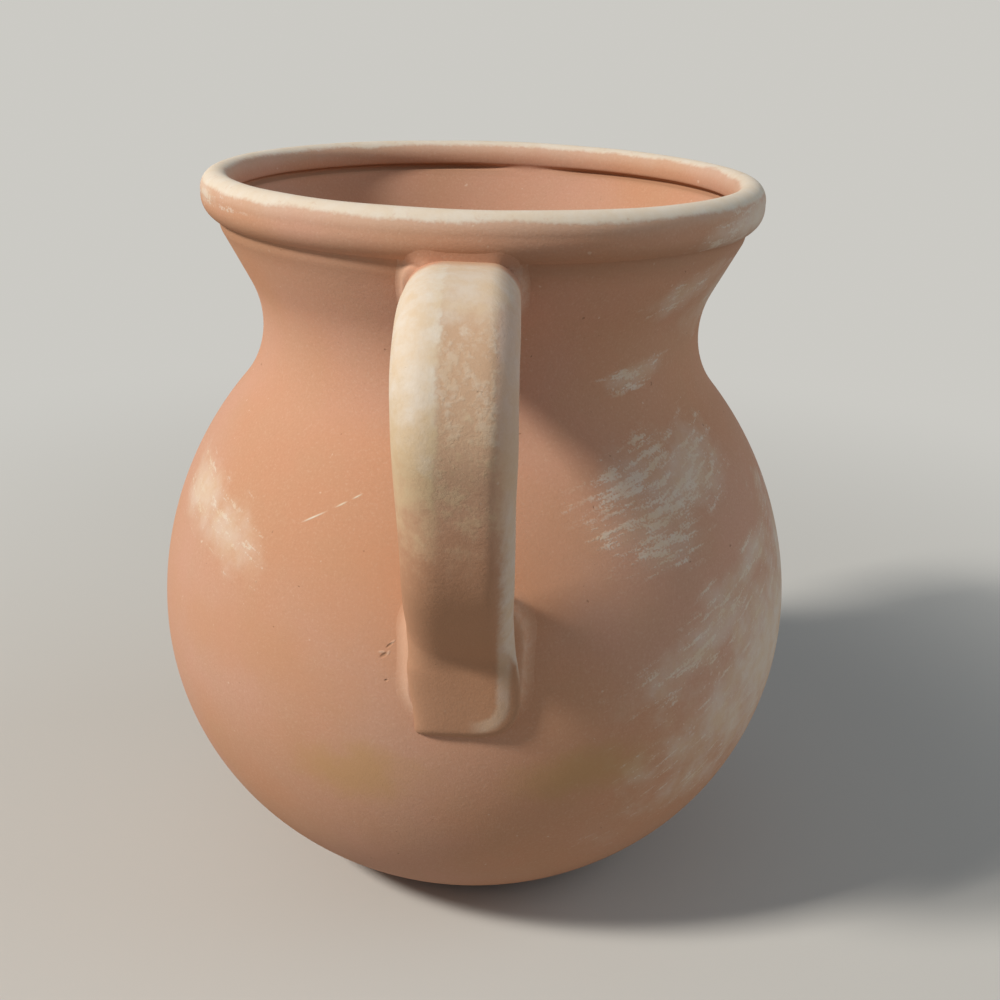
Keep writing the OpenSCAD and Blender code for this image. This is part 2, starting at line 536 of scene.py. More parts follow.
@dataclass
class BodyWall(ClayPiece):
    """The thrown wall of belly, neck and mouth, creased under the coil."""

    node = "body_wall"

    curve: VesselCurve
    outer_step: float = 2.2 * MM
    inner_step: float = 3.4 * MM
    edge_steps: int = 4
    turn_steps: int = 288
    swell: float = 70 * MM
    swell_depth: float = 0.5 * MM
    edge_fade: float = 14 * MM
    mouth_band: float = 12 * MM
    mouth_step: float = 0.8 * MM
    crease_z: float = 3.9 * MM
    crease_h: float = 3.4 * MM
    crease_depth: float = 0.7 * MM

    @staticmethod
    def steps(length: float, step: float) -> int:
        """Number of steps along a length."""
        return max(2, round(length / step))

    def build(self) -> Thing:
        """Models the wall.

        Returns:
            The finished mesh.
        """
        c = self.curve
        low, deep = c.bowl_angle(c.floor_h), c.bowl_angle(c.floor_h, c.wall)
        touch, sweep = c.touch_angle, c.touch_angle + c.flare_angle
        band_steps = self.steps(self.mouth_band, self.mouth_step)
        pen = Pen("thrown_wall", c.bowl_point(c.floor_h))
        pen.arc(c.bowl_centre, -low, self.steps(c.bowl_curve_r * -low, self.outer_step))
        pen.arc(c.shoulder_centre, touch, self.steps(c.shoulder_curve_r * touch, self.outer_step))
        pen.arc(c.neck_centre, -sweep, self.steps(c.neck_curve_r * sweep, self.outer_step))
        edge = Vector((c.mouth_r, 0, c.mouth_z))
        along = (edge - pen.place).normalized()
        near = edge - along * self.mouth_band
        pen.line(near, self.steps((near - pen.place).length, self.outer_step))
        pen.line(edge, band_steps)
        pen.line(edge - AXIS_X * c.edge_w, self.edge_steps)
        pen.line(pen.place - along * self.mouth_band, band_steps)
        start = c.flare_start(c.wall)
        pen.line(start, self.steps((start - pen.place).length, self.inner_step))
        pen.arc(c.neck_centre, sweep, self.steps((c.neck_curve_r + c.wall) * sweep, self.inner_step))
        pen.arc(c.shoulder_centre, -touch, self.steps((c.shoulder_curve_r - c.wall) * touch, self.inner_step))
        pen.arc(c.bowl_centre, deep, self.steps((c.bowl_curve_r - c.wall) * -deep, self.inner_step))
        piece = pen.lathe(self.turn_steps)
        group = Bench.weigh(piece, "between_edges", self.between_edges)
        Bench.knead(piece, "wall_swell", self.swell, self.swell_depth, group)
        Bench.press(piece, "outer_crease", self.crease_share, "NORMAL", -self.crease_depth)
        return Bench.finish(piece)

    def crease_share(self, place: Vector) -> float:
        """Share of the crease under the coil, which is only in the outer face.

        Args:
            place: Point of the mesh.

        Returns:
            Share from 0 to 1.
        """
        c = self.curve
        inside = math.hypot(place.x, place.y) <= c.flare_r(place.z) - c.wall / 2
        if place.z < c.mouth_z - self.mouth_band or inside:
            return 0.0
        away = abs(place.z - c.mouth_z + self.crease_z) / self.crease_h
        return 1 - smooth_step(0, 1, away)

    def between_edges(self, place: Vector) -> float:
        """Share of the unevenness at a point, which fades towards the floor and the mouth."""
        low = smooth_step(self.curve.floor_h, self.curve.floor_h + self.edge_fade, place.z)
        return low * (1 - smooth_step(self.curve.mouth_z - self.edge_fade, self.curve.mouth_z, place.z))


@dataclass
class BaseSlab(ClayPiece):
    """The floor: flat below, with an eased foot edge, and swept up to the wall inside."""

    node = "base_slab"

    curve: VesselCurve
    foot_ease: float = 1.2 * MM
    cove_r: float = 9 * MM
    ring_depth: float = 0.25 * MM
    ring_width: float = 7 * MM
    eye: float = 0.5 * MM
    tuck: float = 0.4 * MM
    under_steps: int = 12
    ease_steps: int = 5
    side_steps: int = 4
    sunk_steps: int = 2
    tuck_steps: int = 3
    cove_steps: int = 10
    ring_steps: int = 6
    turn_steps: int = 192

    def build(self) -> Thing:
        """Models the floor.

        Returns:
            The finished mesh.
        """
        c = self.curve
        sunk = c.wall - self.tuck
        top_z = c.floor_h + self.cove_r
        side_turn = c.bowl_angle(c.floor_h) - c.bowl_angle(self.foot_ease)
        lip, floor_edge = c.bowl_point(top_z, c.wall), c.bowl_point(c.floor_h, c.wall)
        pen = Pen("floor_slab", AXIS_X * self.eye)
        pen.line(AXIS_X * (c.base_r - self.foot_ease), self.under_steps)
        pen.through(bezier(pen.place, AXIS_X * c.base_r, c.bowl_point(self.foot_ease), self.ease_steps))
        pen.arc(c.bowl_centre, side_turn, self.side_steps)
        pen.line(c.bowl_point(c.floor_h, sunk), self.sunk_steps)
        pen.line(c.bowl_point(top_z, sunk), self.tuck_steps)
        pen.line(lip)
        pen.through(bezier(lip, floor_edge, floor_edge - AXIS_X * self.cove_r, self.cove_steps))
        pen.through(self.rings(pen.place.copy()))
        return Bench.finish(pen.lathe(self.turn_steps))

    def rings(self, start: Vector) -> list[Vector]:
        """Finger rings on the floor inside, from its cove to the eye.

        Args:
            start: Inner end of the cove.

        Returns:
            Points of the rings.
        """
        run = start.x - self.eye
        count = max(2, round(run / (self.ring_width / self.ring_steps)))
        points = []
        for i in range(1, count + 1):
            reach = run * i / count
            wave = math.sin(math.tau * reach / self.ring_width) * self.ring_depth
            points.append(start + Vector((-reach, 0, wave * smooth_step(0, self.ring_width, run - reach))))
        return points


@dataclass
class RimCoil(ClayPiece):
    """The rolled coil on the mouth, wiped down on both sides, grooved inside and drawn out to a lip."""

    node = "rim_coil"
    slot = Slot.RIM

    curve: VesselCurve
    top_z: float
    lip_y: float
    outer_r: float
    coil_w: float = 9 * MM
    seat: float = 0.9 * MM
    lip_w: float = 52 * MM
    wipe: float = 3.2 * MM
    proud: float = 0.1 * MM
    crease: float = 1.6 * MM
    bulge: float = 0.4 * MM
    bulge_drop: float = 0.8 * MM
    low_angle: float = math.radians(-8)
    inner_angle: float = math.radians(200)
    inner_wipe: float = 3 * MM
    inner_lap: float = 0.6 * MM
    fold_inset: float = 2.9 * MM
    groove_rise: float = 1.2 * MM
    groove_h: float = 1.2 * MM
    groove_depth: float = 1.6 * MM
    groove_gap: float = math.radians(171)
    groove_gap_w: float = math.radians(17)
    bead_steps: int = 12
    oval_steps: int = 40
    groove_steps: int = 14
    wipe_steps: int = 4
    back_steps: int = 2
    turn_steps: int = 288
    swell: float = 34 * MM
    swell_depth: float = 0.45 * MM

    @property
    def half_h(self) -> float:
        """Half the height of the full oval."""
        return (self.top_z - self.curve.mouth_z + self.seat) / 2

    @property
    def middle(self) -> Vector:
        """Middle of the oval."""
        return Vector((self.outer_r - self.coil_w / 2, 0, self.top_z - self.half_h))

    @property
    def fold_r(self) -> float:
        """Radius at which the coil's inner half passes into its outer half."""
        return self.curve.mouth_r - self.fold_inset

    @property
    def groove_z(self) -> float:
        """Height of the groove inside."""
        return self.curve.mouth_z + self.groove_rise

    def oval(self, angle: float) -> Vector:
        """Point of the oval at an angle from the outside over the top."""
        return self.middle + Vector((self.coil_w / 2 * math.cos(angle), 0, self.half_h * math.sin(angle)))

    def within(self, rise: float) -> Vector:
        """Point just proud of the wall's inner face, at a height above the wall's edge."""
        height = self.curve.mouth_z + rise
        return Vector((self.curve.flare_r(height) - self.curve.edge_w - self.proud, 0, height))

    def build(self) -> Thing:
        """Models the coil.

        Returns:
            The finished mesh.
        """
        c = self.curve
        foot_z = c.mouth_z - self.wipe
        outward = Vector((math.cos(c.flare_angle), 0, -math.sin(c.flare_angle)))
        foot = Vector((c.flare_r(foot_z), 0, foot_z))
        corner = Vector((self.outer_r + self.bulge, 0, c.mouth_z - self.bulge_drop))
        step = (self.inner_angle - self.low_angle) / self.oval_steps
        pen = Pen("rolled_rim", foot - outward * self.crease)
        pen.line(foot + outward * self.proud)
        pen.through(bezier(pen.place, corner, self.oval(self.low_angle), self.bead_steps))
        pen.through(self.oval(self.low_angle + step * i) for i in range(1, self.oval_steps + 1))
        pen.through(bezier(pen.place, self.within(self.groove_rise), self.within(-self.inner_lap), self.groove_steps))
        pen.line(self.within(-self.inner_wipe) + AXIS_X * 2 * self.proud, self.wipe_steps)
        pen.line(Vector((self.middle.x, 0, c.mouth_z - self.crease)), self.back_steps)
        piece = pen.lathe(self.turn_steps)
        Bench.press(piece, "inner_groove", self.groove_share, "NORMAL", -self.groove_depth)
        Bench.press(piece, "pouring_lip", self.lip_share, "Y", self.lip_y - self.outer_r)
        group = Bench.weigh(piece, "bead", self.bead_share)
        Bench.knead(piece, "coil_swell", self.swell, self.swell_depth, group)
        return Bench.finish(piece)

    def groove_share(self, place: Vector) -> float:
        """Share of the groove under the bead inside, which is filled for a stretch beside the lip.

        Args:
            place: Point of the mesh.

        Returns:
            Share from 0 to 1.
        """
        if math.hypot(place.x, place.y) > self.middle.x:
            return 0.0
        away = abs(math.remainder(math.atan2(place.x, -place.y) - self.groove_gap, math.tau))
        aside = abs(place.z - self.groove_z) / self.groove_h
        return smooth_step(0, self.groove_gap_w, away) * (1 - smooth_step(0, 1, aside))

    def lip_share(self, place: Vector) -> float:
        """Share of the lip's reach at a point: most at the outside, opposite the handle.

        Args:
            place: Point of the mesh.

        Returns:
            Share from 0 to 1.
        """
        half = math.asin(self.lip_w / 2 / self.middle.x)
        angle = abs(math.atan2(place.x, place.y))
        if angle >= half:
            return 0.0
        across = smooth_step(self.middle.x - self.coil_w / 2, self.outer_r, math.hypot(place.x, place.y))
        return across * self.bead_share(place) * (1 + math.cos(math.pi * angle / half)) / 2

    def bead_share(self, place: Vector) -> float:
        """Share of the way up from the wiped foot, which stays where it is, to the bead."""
        return smooth_step(self.curve.mouth_z - self.wipe, self.middle.z, place.z)


@dataclass(frozen=True)
class Station:
    """One section of the strap: a point of its front line, as radius on X and height on Z, and the section there."""

    place: Vector
    facing: float
    width: float
    thickness: float

    @property
    def spot(self) -> Vector:
        """The point of the front line in space."""
        return Vector((0, -self.place.x, self.place.z))


Row = tuple[Vector, float, float]


@dataclass
class StrapHandle(ClayPiece):
    """The pulled strap: flat in front, round behind, bent down from the neck and pressed flat on the belly."""

    node = "handle"
    slot = Slot.STRAP

    curve: VesselCurve
    top_z: float
    reach: float
    foot_z: float
    width: float = 29.3 * MM
    foot_width: float = 25.6 * MM
    thickness: float = 17 * MM
    bend_r: float = 25 * MM
    run: float = 23 * MM
    lean: float = math.radians(10)
    foot_bend_r: float = 40 * MM
    foot_turn: float = math.radians(25)
    press_bend_r: float = 20 * MM
    proud: float = 2 * MM
    press_t: float = 5.5 * MM
    foot_drop: float = 2.8 * MM
    left_ease: float = 10.4 * MM
    right_ease: float = 6.6 * MM
    back_ease: float = 6.2 * MM
    left_round: float = 0.5
    right_round: float = 0.4
    back_round: float = 0.5
    ease_steps: int = 6
    front_cuts: int = 3
    sink: float = 2.5 * MM
    corner_h: float = 40 * MM
    corner_pull: float = 1.5 * MM
    flank_h: float = 62 * MM
    flank_pull: float = 1.5 * MM
    toe_h: float = 34 * MM
    toe_pull: float = 2.0 * MM
    round_h: float = 24 * MM
    round_r: float = 9 * MM
    toe_r: float = 3.4 * MM
    end_inset: tuple[float, float, float] = (0.95, 0.8, 1)
    root_shift: float = -1.9 * MM
    foot_shift: float = 1.4 * MM
    root_steps: int = 8
    top_steps: int = 24
    run_steps: int = 6
    bend_steps: int = 8
    fall_steps: int = 5
    press_steps: int = 8
    laid_steps: int = 4
    toe_steps: int = 5
    soft_levels: int = 2
    swell: float = 26 * MM
    swell_depth: float = 0.6 * MM

    @property
    def half_t(self) -> float:
        """Half the full thickness."""
        return self.thickness / 2

    @property
    def top_bend(self) -> Vector:
        """Centre of the upper bend, as radius on X and height on Z."""
        inset = self.half_t + self.bend_r
        return Vector((self.reach - inset, 0, self.top_z - inset))

    @property
    def run_end(self) -> Vector:
        """Lower end of the straight run, on the middle line."""
        start = polar(self.top_bend, self.bend_r, -self.lean)
        return start - self.run * Vector((math.sin(self.lean), 0, math.cos(self.lean)))

    @property
    def foot_bend(self) -> Vector:
        """Centre of the lower bend."""
        return polar(self.run_end, -self.foot_bend_r, -self.lean)

    @property
    def foot_angle(self) -> float:
        """Angle that the front faces below the lower bend."""
        return -self.lean - self.foot_turn

    @property
    def press_bend(self) -> Vector:
        """Centre of the bend that lays the foot on the belly, in front of the strap."""
        end = polar(self.foot_bend, self.foot_bend_r, self.foot_angle)
        press_r = self.curve.belly_r + self.proud - self.half_t
        fall = self.press_bend_r * (1 - math.cos(self.foot_angle))
        length = (end.x - fall - press_r) / -math.sin(self.foot_angle)
        start = end + length * Vector((math.sin(self.foot_angle), 0, -math.cos(self.foot_angle)))
        return polar(start, self.press_bend_r, self.foot_angle)

    @property
    def end_z(self) -> float:
        """Height of the foot's end."""
        return self.foot_z - self.foot_drop

    @property
    def corner_middle(self) -> Vector:
        """Centre of the round right corner of the foot's end."""
        right = self.foot_shift + self.foot_width / 2 + self.toe_pull
        return Vector((right - self.round_r, 0, self.end_z + self.round_r))

    def stations(self) -> list[Station]:
        """Sections of the strap from inside the neck down to the foot's end.

        Returns:
            The sections in order.
        """
        top_r, foot_r = self.bend_r + self.half_t, self.foot_bend_r + self.half_t
        press_r = self.half_t - self.press_bend_r
        thin = self.press_t / self.thickness
        start = Vector((self.curve.neck_r - self.curve.wall, 0, self.top_z))
        rows: list[Row] = [(start, QUARTER, 1.0)]
        self.straight(rows, polar(self.top_bend, top_r, QUARTER), QUARTER, self.root_steps)
        rows += self.bend(self.top_bend, top_r, QUARTER, -self.lean, self.top_steps)
        self.straight(rows, polar(self.foot_bend, foot_r, -self.lean), -self.lean, self.run_steps)
        rows += self.bend(self.foot_bend, foot_r, -self.lean, self.foot_angle, self.bend_steps)
        press_start = polar(self.press_bend, press_r, self.foot_angle)
        self.straight(rows, press_start, self.foot_angle, self.fall_steps)
        press = self.bend(self.press_bend, press_r, self.foot_angle, 0.0, self.press_steps)
        for i, (place, angle, _) in enumerate(press):
            rows.append((place, angle, 1 + (thin - 1) * i / self.press_steps))
        laid = rows[-1][0]
        toe = Vector((laid.x, 0, self.end_z + self.toe_r))
        rows += [(laid.lerp(toe, i / self.laid_steps), 0.0, thin) for i in range(1, self.laid_steps + 1)]
        for i in range(1, self.toe_steps + 1):
            under = polar(Vector(), self.toe_r, -QUARTER * i / self.toe_steps)
            back = self.toe_r - under.x
            rows.append((toe + Vector((-back, 0, under.z)), 0.0, thin - back / self.thickness))
        return [Station(place, angle, self.width_at(place.z), self.thickness * share) for place, angle, share in rows]

    @staticmethod
    def straight(rows: list[Row], end: Vector, angle: float, steps: int) -> None:
        """Adds the front line along a straight stretch, short of its end.

        Args:
            rows: Rows so far, the last of which the stretch leaves.
            end: End of the stretch.
            angle: Angle that the front faces.
            steps: Number of equal steps.
        """
        start = rows[-1][0]
        rows += [(start.lerp(end, i / steps), angle, 1.0) for i in range(1, steps)]

    @staticmethod
    def bend(centre: Vector, radius: float, start: float, end: float, steps: int) -> list[Row]:
        """Front line round a bend.

        Args:
            centre: Centre of the bend.
            radius: Radius of the front line, negative when the centre lies in front.
            start: Angle that the front faces at first.
            end: Angle that it faces at last.
            steps: Number of equal steps.

        Returns:
            Points with the angle that the front faces and the share of the full thickness.
        """
        angles = [start + (end - start) * i / steps for i in range(steps + 1)]
        return [(polar(centre, radius, angle), angle, 1.0) for angle in angles]

    def width_at(self, height: float) -> float:
        """Width of the strap at a height, narrowing from the upper bend to the foot.

        Args:
            height: Height on Z.

        Returns:
            The width.
        """
        start = polar(self.top_bend, self.bend_r, -self.lean).z
        share = clamp((start - height) / (start - self.press_bend.z))
        return self.width + (self.foot_width - self.width) * share

    def build(self) -> Thing:
        """Models the strap.

        Returns:
            The finished mesh.
        """
        rows = self.stations()
        first, end = rows[0], rows[-1]
        middle = first.spot - AXIS_Z * first.thickness / 2
        piece = Bench.plate("pulled_strap", middle, first.width, first.thickness)
        self.ease_corners(piece, middle)
        for last, row in zip(rows, rows[1:]):
            Bench.pull(row.spot - last.spot)
            if row.facing != last.facing:
                Bench.tilt(last.facing - row.facing, row.spot)
            deep = row.thickness / last.thickness
            Bench.stretch((row.width / last.width, deep, deep), row.spot)
        Bench.pull(Vector())
        Bench.stretch(self.end_inset, end.spot + AXIS_Y * end.thickness / 2)
        c = self.curve
        root_z = self.top_z - self.half_t
        facing = Vector((0, -math.cos(c.flare_angle), -math.sin(c.flare_angle)))
        Bench.slice_off(Vector((0, -c.flare_r(root_z), root_z)) - facing * self.sink, facing)
        Bench.tidy_shell()
        Bench.done()
        piece.location.x = self.root_shift
        Bench.settle(piece)
        Bench.press(piece, "foot_corner", self.corner_share, "X", -self.corner_pull)
        Bench.press(piece, "left_flank", self.flank_share, "X", -self.flank_pull)
        Bench.press(piece, "right_toe", self.toe_share, "X", self.toe_pull)
        Bench.press(piece, "round_corner", self.round_share, "Z", self.round_r)
        Bench.press(piece, "downwards", self.down_share, "X", self.foot_shift - self.root_shift)
        Bench.soften(piece, self.soft_levels)
        Bench.knead(piece, "strap_swell", self.swell, self.swell_depth)
        return Bench.finish(piece)

    def ease_corners(self, piece: Thing, middle: Vector) -> None:
        """Rounds the section's corners: broad on the left in front, tighter on the right, full behind.

        Args:
            piece: The strap in edit mode, still a plate.
            middle: Middle of the plate.
        """
        half_w = self.width / 2
        for x, z, ease, profile in (
            (-half_w, self.half_t, self.left_ease, self.left_round),
            (half_w, self.half_t, self.right_ease, self.right_round),
            (-half_w, -self.half_t, self.back_ease, self.back_round),
            (half_w, -self.half_t, self.back_ease, self.back_round),
        ):
            corner = middle + Vector((x, 0, z))
            Bench.pick(piece, lambda co: (co - corner).length < MERGE)
            Bench.ease(ease, self.ease_steps, profile)
        for level in (middle.z + self.half_t, middle.z - self.half_t):
            Bench.pick(piece, lambda co: abs(co.z - level) < MERGE)
            bpy.ops.mesh.subdivide(number_cuts=self.front_cuts)
        Bench.pick_all()

    def left_across(self, place: Vector) -> float:
        """Share of the way from the left side to the flat front."""
        return (place.x - self.root_shift + self.foot_width / 2) / self.left_ease

    def corner_share(self, place: Vector) -> float:
        """Share of the pull that squares the left corner of the foot."""
        low = 1 - smooth_step(self.foot_z, self.foot_z + self.corner_h, place.z)
        return low * math.sin(math.pi * clamp(self.left_across(place)))

    def flank_share(self, place: Vector) -> float:
        """Share of the pull that keeps the left side broad above the foot's end.

        Args:
            place: Point of the mesh.

        Returns:
            Share from 0 to 1.
        """
        up = place.z - self.foot_z
        between = smooth_step(0, self.flank_h / 4, up) * (1 - smooth_step(self.flank_h / 2, self.flank_h, up))
        return between * (1 - smooth_step(0, 1, self.left_across(place)))

    def toe_share(self, place: Vector) -> float:
        """Share of the pull that broadens the right side of the foot's end."""
        low = 1 - smooth_step(self.toe_h / 4, self.toe_h, place.z - self.foot_z)
        return low * smooth_step(0, self.foot_width / 2, place.x - self.root_shift)

    def round_share(self, place: Vector) -> float:
        """Share of the lift that rounds the right corner of the foot's end.

        Args:
            place: Point of the mesh.

        Returns:
            Share from 0 to 1.
        """
        low = 1 - smooth_step(self.end_z, self.foot_z + self.round_h, place.z)
        edge = self.root_shift + self.foot_width / 2
        across = clamp((place.x - edge) / self.round_r + 1)
        return low * (1 - math.sqrt(1 - across**2))

    def down_share(self, place: Vector) -> float:
        """Share of the way down the strap, by which it leans to one side."""
        return (self.top_z - place.z) / (self.top_z - self.foot_z)


@dataclass
class Lute(ClayPiece):
    """Clay wiped into the corner between strap and wall, feathered out on both.

    Its rings run from the outside in. Each is given by how far it lies beyond the strap and how high it stands on the
    wall, both as shares of the radius.
    """

    slot = Slot.WIPED

    node: str
    name: str
    middle_x: float
    low_z: float
    high_z: float
    width: float
    corner: float
    radius: float
    low_share: float
    high_share: float
    low_rise: float
    sunk: float = 0.35 * MM
    tuck: float = 0.4 * MM
    corner_steps: int = 6
    side_cuts: int = 1
    tucked_rings: int = 2
    soft_levels: int = 2
    rings: tuple[Span, ...] = (
        (1.3, 0.0), (1.0, 0.0), (0.8, 0.03), (0.55, 0.12), (0.33, 0.28), (0.15, 0.5), (0.03, 0.78), (-0.08, 1.0),
        (-0.25, 1.0),
    )

    @classmethod
    def at_root(cls, strap: StrapHandle) -> "Lute":
        """The clay round the strap's root, under the coil.

        Args:
            strap: The strap that it holds.

        Returns:
            The lute at its sizes.
        """
        return cls(
            node="upper_lute",
            name="root_lute",
            middle_x=strap.root_shift,
            low_z=strap.top_z - strap.thickness,
            high_z=strap.top_z,
            width=strap.width,
            corner=6 * MM,
            radius=2.4 * MM,
            low_share=1.0,
            high_share=1.2,
            low_rise=0.8,
        )

    @classmethod
    def at_foot(cls, strap: StrapHandle, top_z: float) -> "Lute":
        """The clay round the strap's foot, on the belly.

        Args:
            strap: The strap that it holds.
            top_z: Height at which the clay feathers out.

        Returns:
            The lute at its sizes.
        """
        radius = 4 * MM
        return cls(
            node="lower_lute",
            name="foot_lute",
            middle_x=strap.foot_shift + (strap.toe_pull - strap.flank_pull) / 2,
            low_z=strap.foot_z,
            high_z=top_z - radius,
            width=strap.foot_width + strap.toe_pull + strap.flank_pull,
            corner=9 * MM,
            radius=radius,
            low_share=0.4,
            high_share=1.0,
            low_rise=0.35,
        )

    def ring_box(self, share: float) -> tuple[float, float, float]:
        """Width, lowest and highest level of a ring.

        Args:
            share: How far the ring lies beyond the strap, as a share of the radius.

        Returns:
            The three lengths.
        """
        grow = share * self.radius
        return self.width + 2 * grow, self.low_z - grow * self.low_share, self.high_z + grow * self.high_share

    def rise(self, height: float) -> float:
        """Share of the full height of the clay at a level, less towards the lower end."""
        share = smooth_step(self.low_z, self.high_z, height)
        return self.low_rise + (1 - self.low_rise) * share

    def build(self, wall: Thing, strap: Thing, front_y: float, over: Thing | None = None) -> Thing:
        """Models the clay as rings laid on the wall, raised, and drawn up to the strap.

        Args:
            wall: Piece that it is wiped onto.
            strap: Piece that it is wiped up to.
            front_y: A place on Y in front of the wall.
            over: Second piece that it is wiped onto, if any.

        Returns:
            The finished mesh.
        """
        outermost = self.rings[0][0]
        width, low, high = self.ring_box(outermost)
        piece = Bench.plate(self.name, Vector((self.middle_x, front_y, (low + high) / 2)), width, high - low)
        Bench.pick_all()
        Bench.ease(self.corner + outermost * self.radius, self.corner_steps)
        Bench.pick_all()
        bpy.ops.mesh.delete(type="ONLY_FACE")
        Bench.pick_all()
        bpy.ops.mesh.subdivide(number_cuts=self.side_cuts)
        Bench.done()
        count = len(piece.data.vertices)
        Bench.edit()
        Bench.pick_all()
        for share, _ in self.rings[1:]:
            new_width, new_low, new_high = self.ring_box(share)
            Bench.pull(Vector())
            middle = Vector((self.middle_x, front_y, (low + high) / 2))
            Bench.stretch((new_width / width, 1, (new_high - new_low) / (high - low)), middle)
            bpy.ops.transform.translate(value=(0, 0, (new_low + new_high - low - high) / 2))
            width, low, high = new_width, new_low, new_high
        Bench.pick_all()
        bpy.ops.mesh.normals_make_consistent(inside=False)
        Bench.done()
        if sum(face.normal.y * face.area for face in piece.data.polygons) > 0:
            Bench.edit()
            bpy.ops.mesh.flip_normals()
            Bench.done()
        self.seat(piece, wall, strap, over, count)
        return Bench.finish(piece)

    def seat(self, piece: Thing, wall: Thing, strap: Thing, over: Thing | None, count: int) -> None:
        """Lays the rings on the wall, raises them and draws the last ones up to the strap.

        Args:
            piece: The flat rings.
            wall: Piece below.
            strap: Piece beside.
            over: Second piece below, if any.
            count: Number of points in a ring.
        """
        groups = {name: piece.vertex_groups.new(name=name) for name in ("raised", "sunk", "tucked")}
        for vertex in piece.data.vertices:
            ring = vertex.index // count
            groups["raised"].add([vertex.index], self.rings[ring][1] * self.rise(vertex.co.z), "REPLACE")
            if ring == 0:
                groups["sunk"].add([vertex.index], 1.0, "REPLACE")
            if ring >= len(self.rings) - self.tucked_rings:
                groups["tucked"].add([vertex.index], 1.0, "REPLACE")
        lay = piece.modifiers.new("lay", "SHRINKWRAP")
        lay.target = wall
        lay.auxiliary_target = over
        lay.wrap_method = "PROJECT"
        lay.use_project_y = True
        Bench.shift(piece, "raised", "NORMAL", self.radius)
        Bench.shift(piece, "sunk", "NORMAL", -self.sunk)
        draw = piece.modifiers.new("draw", "SHRINKWRAP")
        draw.target = strap
        draw.wrap_method = "NEAREST_SURFACEPOINT"
        draw.wrap_mode = "ABOVE_SURFACE"
        draw.offset = -self.tuck
        draw.vertex_group = "tucked"
        Bench.soften(piece, self.soft_levels)


@dataclass(frozen=True)
class Cloud:
    """A cloudy noise: waves to the metre, number of finer waves and the share that each adds."""

    scale: float
    detail: float
    rough: float


@dataclass(frozen=True)
class Surface:
    """Values that tell where a point of a piece lies and which way it faces."""

    x: Socket
    y: Socket
    z: Socket
    nx: Socket
    ny: Socket
    nz: Socket


